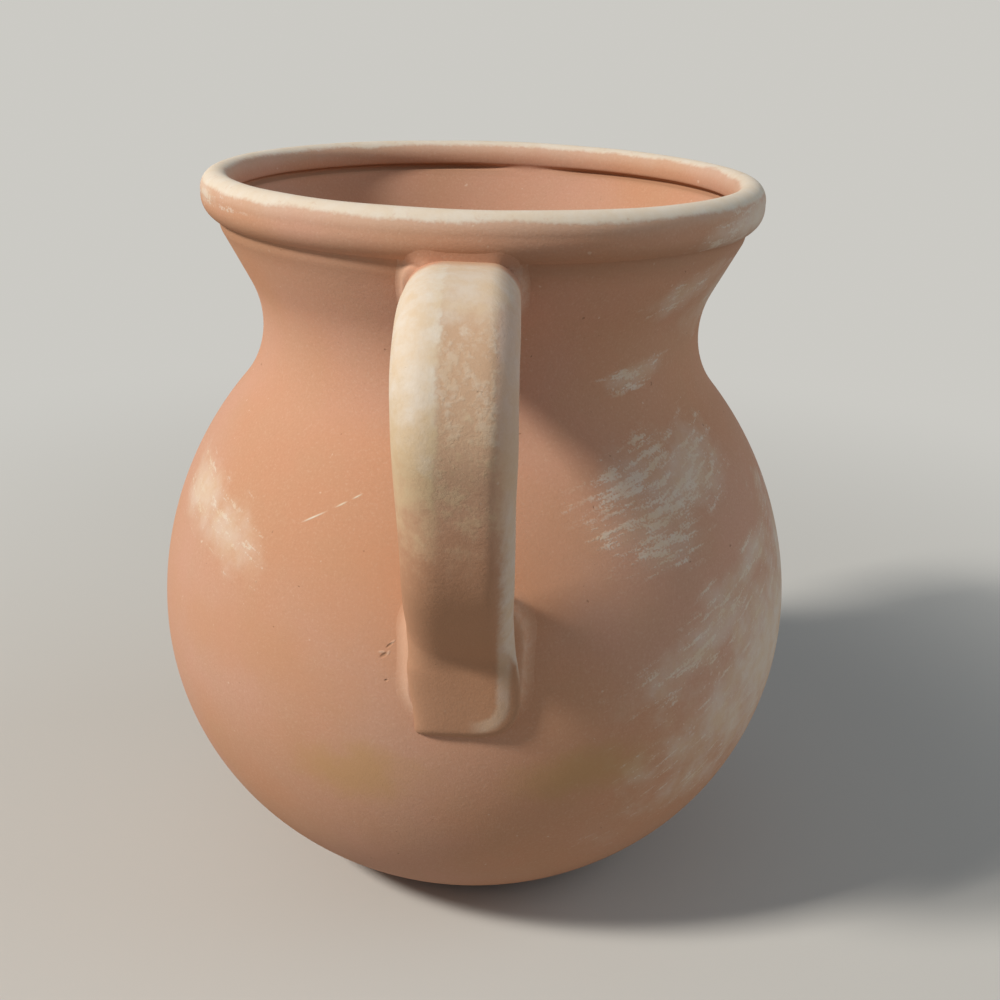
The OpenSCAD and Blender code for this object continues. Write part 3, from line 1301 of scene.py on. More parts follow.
class Desk:
    """Lays out and joins the nodes of one tree."""

    def __init__(self, tree: bpy.types.NodeTree) -> None:
        """Keeps the tree to work on."""
        self.tree = tree

    def add(self, kind: str, **settings: object) -> bpy.types.Node:
        """Adds a node.

        Args:
            kind: Type of the node.
            settings: Properties of the node.

        Returns:
            The node.
        """
        node = self.tree.nodes.new(kind)
        for key, value in settings.items():
            setattr(node, key, value)
        return node

    def feed(self, socket: Socket, value: Given) -> None:
        """Joins a socket to another one, or sets its value.

        Args:
            socket: Input of a node.
            value: Output of another node, or a plain value.
        """
        if isinstance(value, Socket):
            self.tree.links.new(value, socket)
        else:
            socket.default_value = value

    def feed_all(self, node: bpy.types.Node, given: Mapping[str | int, Given]) -> bpy.types.Node:
        """Feeds several inputs of a node.

        Args:
            node: The node.
            given: What to feed, by name or number of the input.

        Returns:
            The node.
        """
        for key, value in given.items():
            self.feed(node.inputs[key], value)
        return node

    def use(self, group: bpy.types.NodeTree, given: Mapping[str, Given]) -> bpy.types.Node:
        """Adds a group's node and feeds it."""
        return self.feed_all(self.add("ShaderNodeGroup", node_tree=group), given)

    def math(self, operation: str, *values: Given) -> Socket:
        """Result of a sum of one to three values."""
        node = self.add("ShaderNodeMath", operation=operation)
        return self.feed_all(node, dict(enumerate(values))).outputs[0]

    def fold(self, operation: str, values: Iterable[Given]) -> Given:
        """Result of a sum that takes up several values in turn."""
        return reduce(lambda total, value: self.math(operation, total, value), values)

    def most(self, *values: Given) -> Given:
        """Greatest of several values."""
        return self.fold("MAXIMUM", values)

    def times(self, *values: Given) -> Given:
        """Product of several values."""
        return self.fold("MULTIPLY", values)

    def plus(self, *values: Given) -> Given:
        """Total of several values."""
        return self.fold("ADD", values)

    def minus(self, value: Given, less: Given) -> Socket:
        """What is left of a value when another is taken from it."""
        return self.math("SUBTRACT", value, less)

    def root(self, *squares: Given) -> Socket:
        """Square root of the total of several values."""
        return self.math("SQRT", self.plus(*squares))

    def angle(self, x: Given, y: Given) -> Socket:
        """Angle round the Z axis from the handle, in radians."""
        return self.math("ARCTAN2", x, self.math("MULTIPLY", y, -1.0))

    def span(self, value: Given, low: Given, high: Given) -> Socket:
        """Smooth rise from 0 at low to 1 at high."""
        node = self.add("ShaderNodeMapRange", interpolation_type="SMOOTHSTEP")
        return self.feed_all(node, {"Value": value, "From Min": low, "From Max": high}).outputs["Result"]

    def noise(self, vector: Given, cloud: Cloud) -> Socket:
        """Cloudy noise round one half.

        Args:
            vector: Place.
            cloud: Kind of noise.

        Returns:
            The value.
        """
        given = {"Vector": vector, "Scale": cloud.scale, "Detail": cloud.detail, "Roughness": cloud.rough}
        return self.feed_all(self.add("ShaderNodeTexNoise"), given).outputs[0]

    def sway(self, noise: Given, reach: float) -> Socket:
        """Noise as a length to both sides of zero."""
        return self.math("MULTIPLY", self.minus(noise, 0.5), 2 * reach)

    def swayed(self, value: Given, *sways: tuple[Given, float]) -> Given:
        """A value with one or more noises added, each with its reach."""
        return self.plus(value, *(self.sway(noise, reach) for noise, reach in sways))

    def moved(self, vector: Given, step: float) -> Socket:
        """Place moved by a step on every axis."""
        node = self.add("ShaderNodeVectorMath", operation="ADD")
        return self.feed_all(node, {0: vector, 1: (step, step, step)}).outputs[0]

    def blend(self, share: Given, under: Given, over: Given) -> Socket:
        """Mix of two colours by the share of the second."""
        node = self.add("ShaderNodeMix", data_type="RGBA")
        return self.feed_all(node, {0: share, 6: under, 7: over}).outputs[2]

    def join(self, x: Given, y: Given, z: Given) -> Socket:
        """Vector from three values."""
        return self.feed_all(self.add("ShaderNodeCombineXYZ"), {0: x, 1: y, 2: z}).outputs[0]

    def parts(self, vector: Given) -> tuple[Socket, ...]:
        """The three values of a vector."""
        return tuple(self.feed_all(self.add("ShaderNodeSeparateXYZ"), {0: vector}).outputs)

    def surface(self, place: Socket) -> Surface:
        """Parts of a place and of the normal there."""
        return Surface(*self.parts(place), *self.parts(self.add("ShaderNodeNewGeometry").outputs["Normal"]))


class SharedEffect:
    """A node group with named inputs and outputs."""

    KINDS = {"float": "NodeSocketFloat", "vector": "NodeSocketVector", "colour": "NodeSocketColor"}

    def __init__(self, name: str, inputs: Mapping[str, str], outputs: Mapping[str, str]) -> None:
        """Makes an empty group.

        Args:
            name: Name of the group.
            inputs: Kinds of the inputs by name.
            outputs: Kinds of the outputs by name.
        """
        self.tree = bpy.data.node_groups.new(name, "ShaderNodeTree")
        for side, sockets in (("INPUT", inputs), ("OUTPUT", outputs)):
            for socket, kind in sockets.items():
                self.tree.interface.new_socket(socket, in_out=side, socket_type=self.KINDS[kind])
        self.desk = Desk(self.tree)
        self.given = self.desk.add("NodeGroupInput").outputs
        self.result = self.desk.add("NodeGroupOutput").inputs


@dataclass(frozen=True)
class Mark:
    """A soft mark on the unrolled wall: middle, half lengths and slant, in millimetres and degrees from the handle."""

    around: float
    up: float
    length: float
    width: float
    slant: float

    def inputs(self) -> dict[str, float]:
        """Values for the group that draws it, in metres and radians.

        Returns:
            Values by the names of the inputs.
        """
        return {
            "Middle Around": self.around * MM,
            "Middle Up": self.up * MM,
            "Half Length": self.length * MM,
            "Half Width": self.width * MM,
            "Slant": math.radians(self.slant),
        }


@dataclass(frozen=True)
class Stroke(Mark):
    """A patch of dry brush strokes: a mark that is more or less thin and hazy."""

    thin: float = 0.35
    haze: float = 0.4

    def inputs(self) -> dict[str, float]:
        """Values for the group that draws it."""
        return super().inputs() | {"Thin": self.thin, "Haze": self.haze}


@dataclass(frozen=True)
class Palette:
    """Colours of the clay, its stains and the whitewash."""

    pink: Colour = (0.60, 0.335, 0.235, 1)
    orange: Colour = (0.585, 0.295, 0.165, 1)
    ochre: Colour = (0.545, 0.32, 0.145, 1)
    tan: Colour = (0.53, 0.335, 0.205, 1)
    # Umber also paints shade: under the coil outside, on the bead's underside and in the rim's groove.
    umber: Colour = (0.40, 0.215, 0.12, 1)
    biscuit: Colour = (0.60, 0.42, 0.275, 1)
    straw: Colour = (0.64, 0.49, 0.30, 1)
    pit: Colour = (0.24, 0.115, 0.06, 1)
    chalk: Colour = (0.76, 0.69, 0.59, 1)
    cream: Colour = (0.72, 0.585, 0.42, 1)
    # Speck also paints the highlight on the left-facing side of the wiped clay.
    speck: Colour = (0.80, 0.66, 0.52, 1)


class Effects:
    """The node groups that the finishes share."""

    UNROLL_R = 90 * MM
    MARK_INPUTS = dict.fromkeys(
        ("Around", "Up", "Middle Around", "Middle Up", "Half Length", "Half Width", "Slant", "Ragged"), "float"
    )
    STROKE_INPUTS = MARK_INPUTS | dict.fromkeys(("Thin", "Haze", "Grain"), "float")
    STROKE_RAGGED = 0.7
    STROKE_BODY = 0.55
    STROKE_LEVEL: Span = (0.0, 0.6)
    STROKE_EDGE: Span = (-0.35, 0.3)
    STROKE_SHARE = 0.72
    DASH = Cloud(620.0, 2.0, 0.6)
    DASH_STRETCH = 0.17
    DASH_SWAY = 1.5
    GRAIN_SWAY = 0.9
    HAZE: Span = (-0.15, 0.95)
    SPOT_RAGGED = 0.5
    SPOT: Span = (0.0, 0.9)
    BROAD, BROAD_SPAN, BROAD_SHARE = Cloud(14.0, 2.0, 0.5), (0.36, 0.66), 0.75
    SMALL, SMALL_SPAN, SMALL_SHARE = Cloud(70.0, 3.0, 0.6), (0.3, 0.75), 0.22
    GRAIN = Cloud(1400.0, 3.0, 0.7)
    DARK_SPAN, DARK_SHARE = (0.5, 0.8), 0.22
    PALE_SPAN, PALE_SHARE = (0.5, 0.2), 0.20
    PITS, PIT_SPAN, PIT_SHARE = Cloud(560.0, 1.0, 0.4), (0.79, 0.83), 0.5
    SPECKS, SPECK_SPAN, SPECK_SHARE = Cloud(520.0, 1.0, 0.4), (0.78, 0.82), 0.4
    SPECK_STEP = 0.37
    GRAIN_RELIEF, PIT_RELIEF, SMALL_RELIEF = 0.5, -0.5, 0.35
    CHALK, CHALK_SPAN = Cloud(160.0, 4.0, 0.65), (0.3, 0.7)

    def __init__(self, palette: Palette) -> None:
        """Makes all groups.

        Args:
            palette: Colours to use.
        """
        self.palette = palette
        self.unrolled = self.make_unrolled()
        self.patch = self.make_patch()
        self.spot = self.make_spot()
        self.clay = self.make_clay()
        self.chalk = self.make_chalk()

    def make_unrolled(self) -> bpy.types.NodeTree:
        """Length round the axis from the handle, and height."""
        made = SharedEffect("unrolled", {"Place": "vector"}, {"Around": "float", "Up": "float"})
        d = made.desk
        x, y, z = d.parts(made.given["Place"])
        d.feed(made.result["Around"], d.math("MULTIPLY", d.angle(x, y), self.UNROLL_R))
        d.feed(made.result["Up"], z)
        return made.tree

    @staticmethod
    def inside(d: Desk, given: Mapping[str, Socket]) -> tuple[Socket, Given, Socket]:
        """Nearness to the middle of a mark, and the place along and across it.

        Args:
            d: Desk of the group.
            given: Inputs of the group.

        Returns:
            The nearness, which is 1 in the middle and 0 at the edge, and the two lengths.
        """
        a = d.minus(given["Around"], given["Middle Around"])
        u = d.minus(given["Up"], given["Middle Up"])
        cos, sin = d.math("COSINE", given["Slant"]), d.math("SINE", given["Slant"])
        along = d.plus(d.times(a, cos), d.times(u, sin))
        across = d.minus(d.times(u, cos), d.times(a, sin))
        far = d.root(
            d.math("POWER", d.math("DIVIDE", along, given["Half Length"]), 2.0),
            d.math("POWER", d.math("DIVIDE", across, given["Half Width"]), 2.0),
        )
        return d.minus(1.0, far), along, across

    def make_patch(self) -> bpy.types.NodeTree:
        """Dry brush strokes: a haze in the middle of a patch, broken into dashes and grains at its ragged edge."""
        made = SharedEffect("brush_patch", self.STROKE_INPUTS, {"Mask": "float"})
        d, given = made.desk, made.given
        near, along, across = self.inside(d, given)
        inside = d.swayed(near, (given["Ragged"], self.STROKE_RAGGED))
        dash = d.noise(d.join(d.times(along, self.DASH_STRETCH), across, given["Middle Up"]), self.DASH)
        body = d.times(inside, self.STROKE_BODY)
        level = d.swayed(body, (dash, self.DASH_SWAY), (given["Grain"], self.GRAIN_SWAY))
        level = d.span(d.minus(level, given["Thin"]), *self.STROKE_LEVEL)
        cover = d.times(level, d.span(inside, *self.STROKE_EDGE), self.STROKE_SHARE)
        haze = d.times(d.span(inside, *self.HAZE), given["Haze"])
        d.feed(made.result["Mask"], d.most(cover, haze))
        return made.tree

    def make_spot(self) -> bpy.types.NodeTree:
        """Soft mark with an uneven edge."""
        made = SharedEffect("soft_spot", self.MARK_INPUTS, {"Mask": "float"})
        d, given = made.desk, made.given
        near, _, _ = self.inside(d, given)
        d.feed(made.result["Mask"], d.span(d.swayed(near, (given["Ragged"], self.SPOT_RAGGED)), *self.SPOT))
        return made.tree

    def make_clay(self) -> bpy.types.NodeTree:
        """Mottled clay with fine grain, pits and pale specks, and its relief."""
        made = SharedEffect("clay_body", {"Place": "vector"}, {"Colour": "colour", "Relief": "float"})
        d, place, p = made.desk, made.given["Place"], self.palette
        broad = d.span(d.noise(place, self.BROAD), *self.BROAD_SPAN)
        small = d.span(d.noise(place, self.SMALL), *self.SMALL_SPAN)
        grain = d.noise(place, self.GRAIN)
        pits = d.span(d.noise(place, self.PITS), *self.PIT_SPAN)
        specks = d.span(d.noise(d.moved(place, self.SPECK_STEP), self.SPECKS), *self.SPECK_SPAN)
        colour = p.pink
        for mask, share, over in (
            (broad, self.BROAD_SHARE, p.orange),
            (small, self.SMALL_SHARE, p.tan),
            (d.span(grain, *self.DARK_SPAN), self.DARK_SHARE, p.umber),
            (d.span(grain, *self.PALE_SPAN), self.PALE_SHARE, p.speck),
            (pits, self.PIT_SHARE, p.pit),
            (specks, self.SPECK_SHARE, p.speck),
        ):
            colour = d.blend(d.times(mask, share), colour, over)
        relief = ((grain, self.GRAIN_RELIEF), (pits, self.PIT_RELIEF), (small, self.SMALL_RELIEF))
        d.feed(made.result["Colour"], colour)
        d.feed(made.result["Relief"], d.plus(*(d.times(mask, height) for mask, height in relief)))
        return made.tree

    def make_chalk(self) -> bpy.types.NodeTree:
        """Whitewash, a little uneven."""
        made = SharedEffect("chalk", {"Place": "vector"}, {"Colour": "colour"})
        d, p = made.desk, self.palette
        thick = d.span(d.noise(made.given["Place"], self.CHALK), *self.CHALK_SPAN)
        d.feed(made.result["Colour"], d.blend(thick, p.cream, p.chalk))
        return made.tree


@dataclass(frozen=True)
class Finish:
    """A matt clay finish; each kind colours it in its own way."""

    name: str
    effects: Effects
    roughness: float = 0.9
    specular: float = 0.2
    bump: float = 0.7
    relief: float = 0.22 * MM
    chalk_relief: float = 0.5
    ragged_edge: Cloud = Cloud(85.0, 3.0, 0.6)
    brush_grain: Cloud = Cloud(1500.0, 2.0, 0.6)
    outside_reach: float = 5 * MM

    def colour(self, d: Desk, place: Socket) -> tuple[Given, Given]:
        """Plain clay.

        Args:
            d: Desk of the material.
            place: Place on the object.

        Returns:
            Colour and relief.
        """
        clay = d.use(self.effects.clay, {"Place": place})
        return clay.outputs["Colour"], clay.outputs["Relief"]

    def build(self) -> bpy.types.Material:
        """Makes the material.

        Returns:
            The material.
        """
        material = bpy.data.materials.new(self.name)
        material.use_nodes = True
        d = Desk(material.node_tree)
        shader = material.node_tree.nodes["Principled BSDF"]
        colour, relief = self.colour(d, d.add("ShaderNodeTexCoord").outputs["Object"])
        bump = d.add("ShaderNodeBump")
        bump.inputs["Strength"].default_value = self.bump
        bump.inputs["Distance"].default_value = self.relief
        d.feed(bump.inputs["Height"], relief)
        shader.inputs["Roughness"].default_value = self.roughness
        shader.inputs["Specular IOR Level"].default_value = self.specular
        d.feed(shader.inputs["Base Color"], colour)
        d.feed(shader.inputs["Normal"], bump.outputs["Normal"])
        return material

    def chalk(self, d: Desk, place: Socket) -> Socket:
        """Colour of the whitewash."""
        return d.use(self.effects.chalk, {"Place": place}).outputs["Colour"]

    def marks(
        self, d: Desk, place: Socket, marks: Iterable[Mark], kind: bpy.types.NodeTree, extra: Mapping[str, Given]
    ) -> Given:
        """Cover of several marks, the greatest at each place.

        Args:
            d: Desk of the material.
            place: Place on the object.
            marks: The marks.
            kind: Group that draws each of them.
            extra: What the group takes beside the place and the mark's own values.

        Returns:
            The cover.
        """
        flat = d.use(self.effects.unrolled, {"Place": place}).outputs
        shared = {"Around": flat["Around"], "Up": flat["Up"], "Ragged": d.noise(place, self.ragged_edge), **extra}
        return d.most(*(d.use(kind, shared | mark.inputs()).outputs["Mask"] for mark in marks))

    def spots(self, d: Desk, place: Socket, marks: Iterable[Mark]) -> Given:
        """Cover of several soft marks."""
        return self.marks(d, place, marks, self.effects.spot, {})

    def strokes(self, d: Desk, place: Socket, strokes: Iterable[Stroke]) -> Given:
        """Cover of several patches of dry brush strokes."""
        return self.marks(d, place, strokes, self.effects.patch, {"Grain": d.noise(place, self.brush_grain)})

    def outside(self, d: Desk, place: Socket) -> Socket:
        """1 on the outer face of the vessel, 0 on the inner one."""
        s = d.surface(place)
        return d.span(d.plus(d.times(s.x, s.nx), d.times(s.y, s.ny)), 0.0, self.outside_reach)


@dataclass(frozen=True)
class StainedClay(Finish):
    """Clay with warmer areas and ochre stains, and painted shade to put in the crease under the coil."""

    mouth_z: float = 0.0
    crease_shade_low: float = 12 * MM
    crease_shade_high: float = 4 * MM
    crease_shade_share: float = 0.5
    warmth: tuple[Mark, ...] = (
        Mark(-20, 118, 26, 30, 20),
        Mark(20, 128, 30, 22, 0),
        Mark(-60, 96, 60, 16, 0),
    )
    warm_share: float = 0.45
    stains: tuple[Mark, ...] = (
        Mark(-26, 68, 24, 14, 10),
        Mark(32, 70, 26, 12, 5),
        Mark(-128, 52, 26, 12, -8),
        Mark(170, 60, 30, 12, 6),
    )
    stain_share: float = 0.7

    def colour(self, d: Desk, place: Socket) -> tuple[Given, Given]:
        """Clay, warmed and stained.

        Args:
            d: Desk of the material.
            place: Place on the object.

        Returns:
            Colour and relief.
        """
        p = self.effects.palette
        colour, relief = super().colour(d, place)
        colour = d.blend(d.times(self.spots(d, place, self.warmth), self.warm_share), colour, p.orange)
        colour = d.blend(d.times(self.spots(d, place, self.stains), self.stain_share), colour, p.ochre)
        return colour, relief

    def crease(self, d: Desk, place: Socket, outside: Given) -> Given:
        """Share of the painted shade under the coil on the outer face."""
        _, _, z = d.parts(place)
        # Painted shade: darkens the outer face just below the coil, where the bead overhangs.
        return d.times(d.span(z, self.mouth_z - self.crease_shade_low, self.mouth_z - self.crease_shade_high), outside, self.crease_shade_share)


@dataclass(frozen=True)
class BrushedClay(StainedClay):
    """The wall: clay with dry-brushed whitewash, stains, a scratch, chips and painted shade in the crease under the
    coil.
    """

    brushed: tuple[Stroke, ...] = (
        Stroke(-94, 128, 26, 10, -10, 0.3, 0.6),
        Stroke(-77, 124, 20, 10, -12, 0.3, 0.5),
        Stroke(53, 146, 20, 8, 11, 0.1, 0.3),
        Stroke(59, 136, 23, 9, 9, 0.2, 0.25),
        Stroke(76, 143, 26, 12, 12, 0.15, 0.5),
        Stroke(60, 127, 18, 6, 8, 0.2, 0.2),
        Stroke(90, 114, 32, 7, 16, 0.2, 0.5),
        Stroke(70, 101, 34, 9, 22, 0.25, 0.45),
        Stroke(104, 84, 66, 34, 29, 0.25, 0.7),
        Stroke(144, 94, 50, 44, 24, 0.2, 0.85),
        Stroke(65, 170, 17, 4, 6, 0.1, 0.4),
        Stroke(82, 192, 26, 6, 12, 0.3, 0.4),
        Stroke(114, 188, 24, 12, 14, 0.4, 0.4),
        Stroke(226, 124, 40, 16, -24, 0.5),
        Stroke(-186, 112, 42, 16, 26, 0.5),
        Stroke(-226, 182, 30, 8, 12, 0.5),
    )
    scratch: tuple[Mark, ...] = (
        Mark(-43.7, 134.9, 5.0, 0.38, 28.7),
        Mark(-36.3, 139.0, 2.5, 0.38, 28.7),
        Mark(-32.0, 141.4, 2.2, 0.34, 28.7),
    )
    chips: tuple[Mark, ...] = (
        Mark(-18.3, 104.6, 1.5, 0.6, 38),
        Mark(-17.0, 107.4, 1.3, 0.4, 45),
        Mark(-17.4, 98, 0.8, 0.5, 20),
    )
    chip_share: float = 0.6
    chip_relief: float = -1.6
    crumbs: tuple[Mark, ...] = (
        Mark(-18.9, 105.4, 1.2, 0.5, 10),
        Mark(-17.2, 105.4, 0.9, 0.5, 60),
        Mark(-16.4, 108.2, 1.3, 0.4, 45),
    )
    crumb_share: float = 0.3
    crumb_relief: float = 0.6

    def colour(self, d: Desk, place: Socket) -> tuple[Given, Given]:
        """Clay with stains under and whitewash over it.

        Args:
            d: Desk of the material.
            place: Place on the object.

        Returns:
            Colour and relief.
        """
        p = self.effects.palette
        colour, relief = super().colour(d, place)
        chips, crumbs = self.spots(d, place, self.chips), self.spots(d, place, self.crumbs)
        outside = self.outside(d, place)
        # Painted shade under the coil, in umber.
        colour = d.blend(self.crease(d, place, outside), colour, p.umber)
        colour = d.blend(d.times(chips, self.chip_share), colour, p.umber)
        colour = d.blend(d.times(crumbs, self.crumb_share), colour, p.speck)
        cover = d.most(self.strokes(d, place, self.brushed), self.spots(d, place, self.scratch))
        cover = d.times(cover, outside)
        heights = ((cover, self.chalk_relief), (chips, self.chip_relief), (crumbs, self.crumb_relief))
        relief = d.plus(relief, *(d.times(mask, height) for mask, height in heights))
        return d.blend(cover, colour, self.chalk(d, place)), relief


@dataclass(frozen=True)
class WashedRim(Finish):
    """The coil: whitewash on top, worn through to the clay below a ragged edge, and painted shade on the bead's
    underside and in the groove inside.
    """

    top_z: float = 0.0
    mouth_z: float = 0.0
    fold_r: float = 0.0
    groove_z: float = 0.0
    groove_gap: float = 0.0
    groove_gap_w: float = 0.0
    fold_half: float = 2 * MM
    under_half: float = 2.5 * MM
    bead_underside_shade_share: float = 0.45
    groove_shade_band: Span = (2.2 * MM, 0.4 * MM)
    groove_share: float = 0.7
    outer_edge: float = 2.8 * MM
    inner_edge: float = 1.5 * MM
    wave: Cloud = Cloud(55.0, 4.0, 0.65)
    wave_sway: float = 1.6 * MM
    fray: Cloud = Cloud(900.0, 2.0, 0.6)
    fray_sway: float = 0.56 * MM
    top_band: Span = (-0.7 * MM, 1.0 * MM)
    top_share: float = 0.95
    haze_band: Span = (-4.5 * MM, 1.0 * MM)
    haze_share: float = 0.3
    wear: Cloud = Cloud(240.0, 3.0, 0.7)
    wear_span: Span = (0.60, 0.72)
    wear_share: float = 0.3
    whiteness: float = 0.5
    brushed: tuple[Stroke, ...] = (
        Stroke(112, 211, 44, 7, 5, 0.1, 0.65),
        Stroke(-116, 214, 40, 4, -3, 0.1, 0.5),
        Stroke(150, 207, 30, 5, 8, 0.5, 0.4),
        Stroke(-200, 210, 50, 5, 3, 0.5),
        Stroke(228, 210, 40, 5, -4, 0.5),
    )

    def colour(self, d: Desk, place: Socket) -> tuple[Given, Given]:
        """Clay below, whitewash on top.

        Args:
            d: Desk of the material.
            place: Place on the object.

        Returns:
            Colour and relief.
        """
        p = self.effects.palette
        clay, relief = super().colour(d, place)
        chalk = d.blend(self.whiteness, self.chalk(d, place), p.chalk)
        x, y, z = d.parts(place)
        radius = d.root(d.times(x, x), d.times(y, y))
        outer = d.span(radius, self.fold_r - self.fold_half, self.fold_r + self.fold_half)
        # Painted shade in umber: on the bead's underside outside and in the groove inside.
        under = d.span(z, self.mouth_z + self.under_half, self.mouth_z - self.under_half)
        under = d.times(under, outer, self.bead_underside_shade_share)
        clay = d.blend(d.most(under, self.groove(d, place, outer)), clay, p.umber)
        edge = d.plus(self.top_z - self.inner_edge, d.times(outer, self.inner_edge - self.outer_edge))
        wave, fray = d.noise(place, self.wave), d.noise(place, self.fray)
        above = d.minus(d.swayed(z, (wave, self.wave_sway), (fray, self.fray_sway)), edge)
        worn = d.times(d.span(d.noise(place, self.wear), *self.wear_span), self.wear_share)
        top = d.times(d.span(above, *self.top_band), d.minus(1.0, worn))
        haze = d.times(d.span(above, *self.haze_band), self.haze_share)
        brushed = d.times(self.strokes(d, place, self.brushed), outer)
        cover = d.most(d.times(d.most(top, haze), self.top_share), brushed)
        return d.blend(cover, clay, chalk), d.plus(relief, d.times(cover, self.chalk_relief))

    def groove(self, d: Desk, place: Socket, outer: Given) -> Given:
        """Painted shade in the groove inside, apart from the filled stretch.

        Args:
            d: Desk of the material.
            place: Place on the object.
            outer: 1 on the outer half of the coil.

        Returns:
            Share of the painted shade.
        """
        x, y, z = d.parts(place)
        away = d.math("WRAP", d.minus(d.angle(x, y), self.groove_gap), math.pi, -math.pi)
        open_share = d.span(d.math("ABSOLUTE", away), 0.0, self.groove_gap_w)
        band = d.span(d.math("ABSOLUTE", d.minus(z, self.groove_z)), *self.groove_shade_band)
        # Painted shade: a soft dark band along the groove under the bead inside.
        return d.times(band, d.minus(1.0, outer), open_share, self.groove_share)


@dataclass(frozen=True)
class WornStrap(Finish):
    """The strap: whitewash left on its sides and top, worn off its flat front, bare and darker towards the foot, and
    pale along its right edge, partly as a painted highlight.

    Pairs of sways are for the blotches and for the fine noise.
    """

    chalk_relief: float = 0.4
    top_z: float = 0.0
    foot_z: float = 0.0
    root_r: float = 0.0
    corner_x: float = 0.0
    corner_z: float = 0.0
    blotch: Cloud = Cloud(170.0, 3.0, 0.65)
    fine: Cloud = Cloud(650.0, 3.0, 0.65)
    fine_relief: float = 0.5
    bare: Span = (50 * MM, 84 * MM)
    bare_sway: float = 20 * MM
    foot_darkening_share: float = 0.65
    foot_darkening_drop: float = 10 * MM
    front_half: Span = (-0.2, 0.2)
    side_sway: Span = (0.16, 0.10)
    left_side: Span = (-0.02, -0.16)
    left_x: Span = (-3.2 * MM, -5.2 * MM)
    left_sway: Span = (2.6 * MM, 1.2 * MM)
    right_side: Span = (0.34, 0.62)
    right_share: float = 0.5
    root_low: float = 11 * MM
    root_high: float = 2 * MM
    root_sway: float = 6 * MM
    root_share: float = 0.75
    crumb_mix: Span = (0.65, 0.5)
    crumb_span: Span = (0.52, 0.70)
    crumb_share: float = 0.5
    clear_from: float = 3 * MM
    clear_to: float = 9 * MM
    clear_sway: float = 2 * MM
    cover_share: float = 0.9
    ridge_side: Span = (0.5, 0.85)
    ridge_sway: Span = (0.1, 0.12)
    ridge_low: float = 5 * MM
    ridge_high: float = 17 * MM
    bow_inset: float = 2.5 * MM
    bow_inner: Span = (4.6 * MM, 6.2 * MM)
    bow_outer: Span = (9.6 * MM, 7.8 * MM)
    bow_x: Span = (2 * MM, 8 * MM)
    bow_low: float = 28 * MM
    bow_high: float = 40 * MM
    bow_sway: float = 6 * MM * MM
    bow_share: float = 0.6
    edge_rise: float = 14 * MM
    edge_share: float = 0.6
    straw_drop: float = 8 * MM
    straw_rise: float = 20 * MM
    front_left: Span = (-0.2, 0.0)
    front_right: Span = (0.6, 0.35)
    biscuit_rise: float = 10 * MM
    biscuit_share: float = 0.75

    def colour(self, d: Desk, place: Socket) -> tuple[Given, Given]:
        """Clay with what is left of the whitewash.

        Args:
            d: Desk of the material.
            place: Place on the object.

        Returns:
            Colour and relief.
        """
        p = self.effects.palette
        clay, relief = super().colour(d, place)
        s = d.surface(place)
        blotch, fine = d.noise(place, self.blotch), d.noise(place, self.fine)
        low, high = (self.foot_z + up for up in self.bare)
        level = d.swayed(s.z, (blotch, self.bare_sway))
        outer = d.span(d.minus(s.nz, s.ny), *self.front_half)
        cover = d.times(self.left_over(d, s, blotch, fine, outer), d.span(level, low, high), self.clear(d, s, blotch))
        # Pale right edge and its bow round the foot: partly whitewash, partly a painted highlight.
        edge = d.most(self.ridge_wash_and_highlight(d, s, blotch, fine), self.bow_wash_and_highlight(d, s, fine, outer))
        edge = d.times(edge, d.span(level, high + self.edge_rise, low), self.edge_share)
        chalk = self.chalk(d, place)
        wash = d.blend(d.span(level, high - self.straw_drop, high + self.straw_rise), p.straw, chalk)
        front = d.times(d.span(s.nx, *self.front_left), d.span(s.nx, *self.front_right))
        rubbed = d.times(front, d.span(level, low, high + self.biscuit_rise), self.biscuit_share)
        clay = d.blend(rubbed, clay, p.biscuit)
        # Darker towards the foot, in umber.
        clay = d.blend(d.times(d.span(level, high, low - self.foot_darkening_drop), self.foot_darkening_share), clay, p.umber)
        colour = d.blend(edge, d.blend(d.times(cover, self.cover_share), clay, wash), chalk)
        height = d.times(d.most(cover, edge), self.chalk_relief)
        return colour, d.plus(relief, height, d.times(fine, self.fine_relief))

    def left_over(self, d: Desk, s: Surface, blotch: Socket, fine: Socket, outer: Socket) -> Given:
        """Whitewash that wear has left: on the sides, at the root and as crumbs in front.

        Args:
            d: Desk of the material.
            s: Place and normal.
            blotch: Noise of the blotches.
            fine: Fine noise.
            outer: 1 on the front half.

        Returns:
            The cover.
        """
        side = d.swayed(s.nx, (blotch, self.side_sway[0]), (fine, self.side_sway[1]))
        beside = d.swayed(s.x, (blotch, self.left_sway[0]), (fine, self.left_sway[1]))
        left = d.most(d.span(side, *self.left_side), d.times(d.span(beside, *self.left_x), outer))
        right = d.times(d.span(side, *self.right_side), self.right_share)
        up = d.swayed(s.z, (blotch, self.root_sway))
        root = d.times(d.span(up, self.top_z - self.root_low, self.top_z - self.root_high), self.root_share)
        mixed = d.plus(d.times(blotch, self.crumb_mix[0]), d.times(fine, self.crumb_mix[1]))
        return d.most(left, right, root, d.times(d.span(mixed, *self.crumb_span), self.crumb_share))

    def clear(self, d: Desk, s: Surface, blotch: Socket) -> Socket:
        """0 at the root, where the whitewash ends, and 1 farther out."""
        radius = d.swayed(d.root(d.times(s.x, s.x), d.times(s.y, s.y)), (blotch, self.clear_sway))
        return d.span(radius, self.root_r + self.clear_from, self.root_r + self.clear_to)

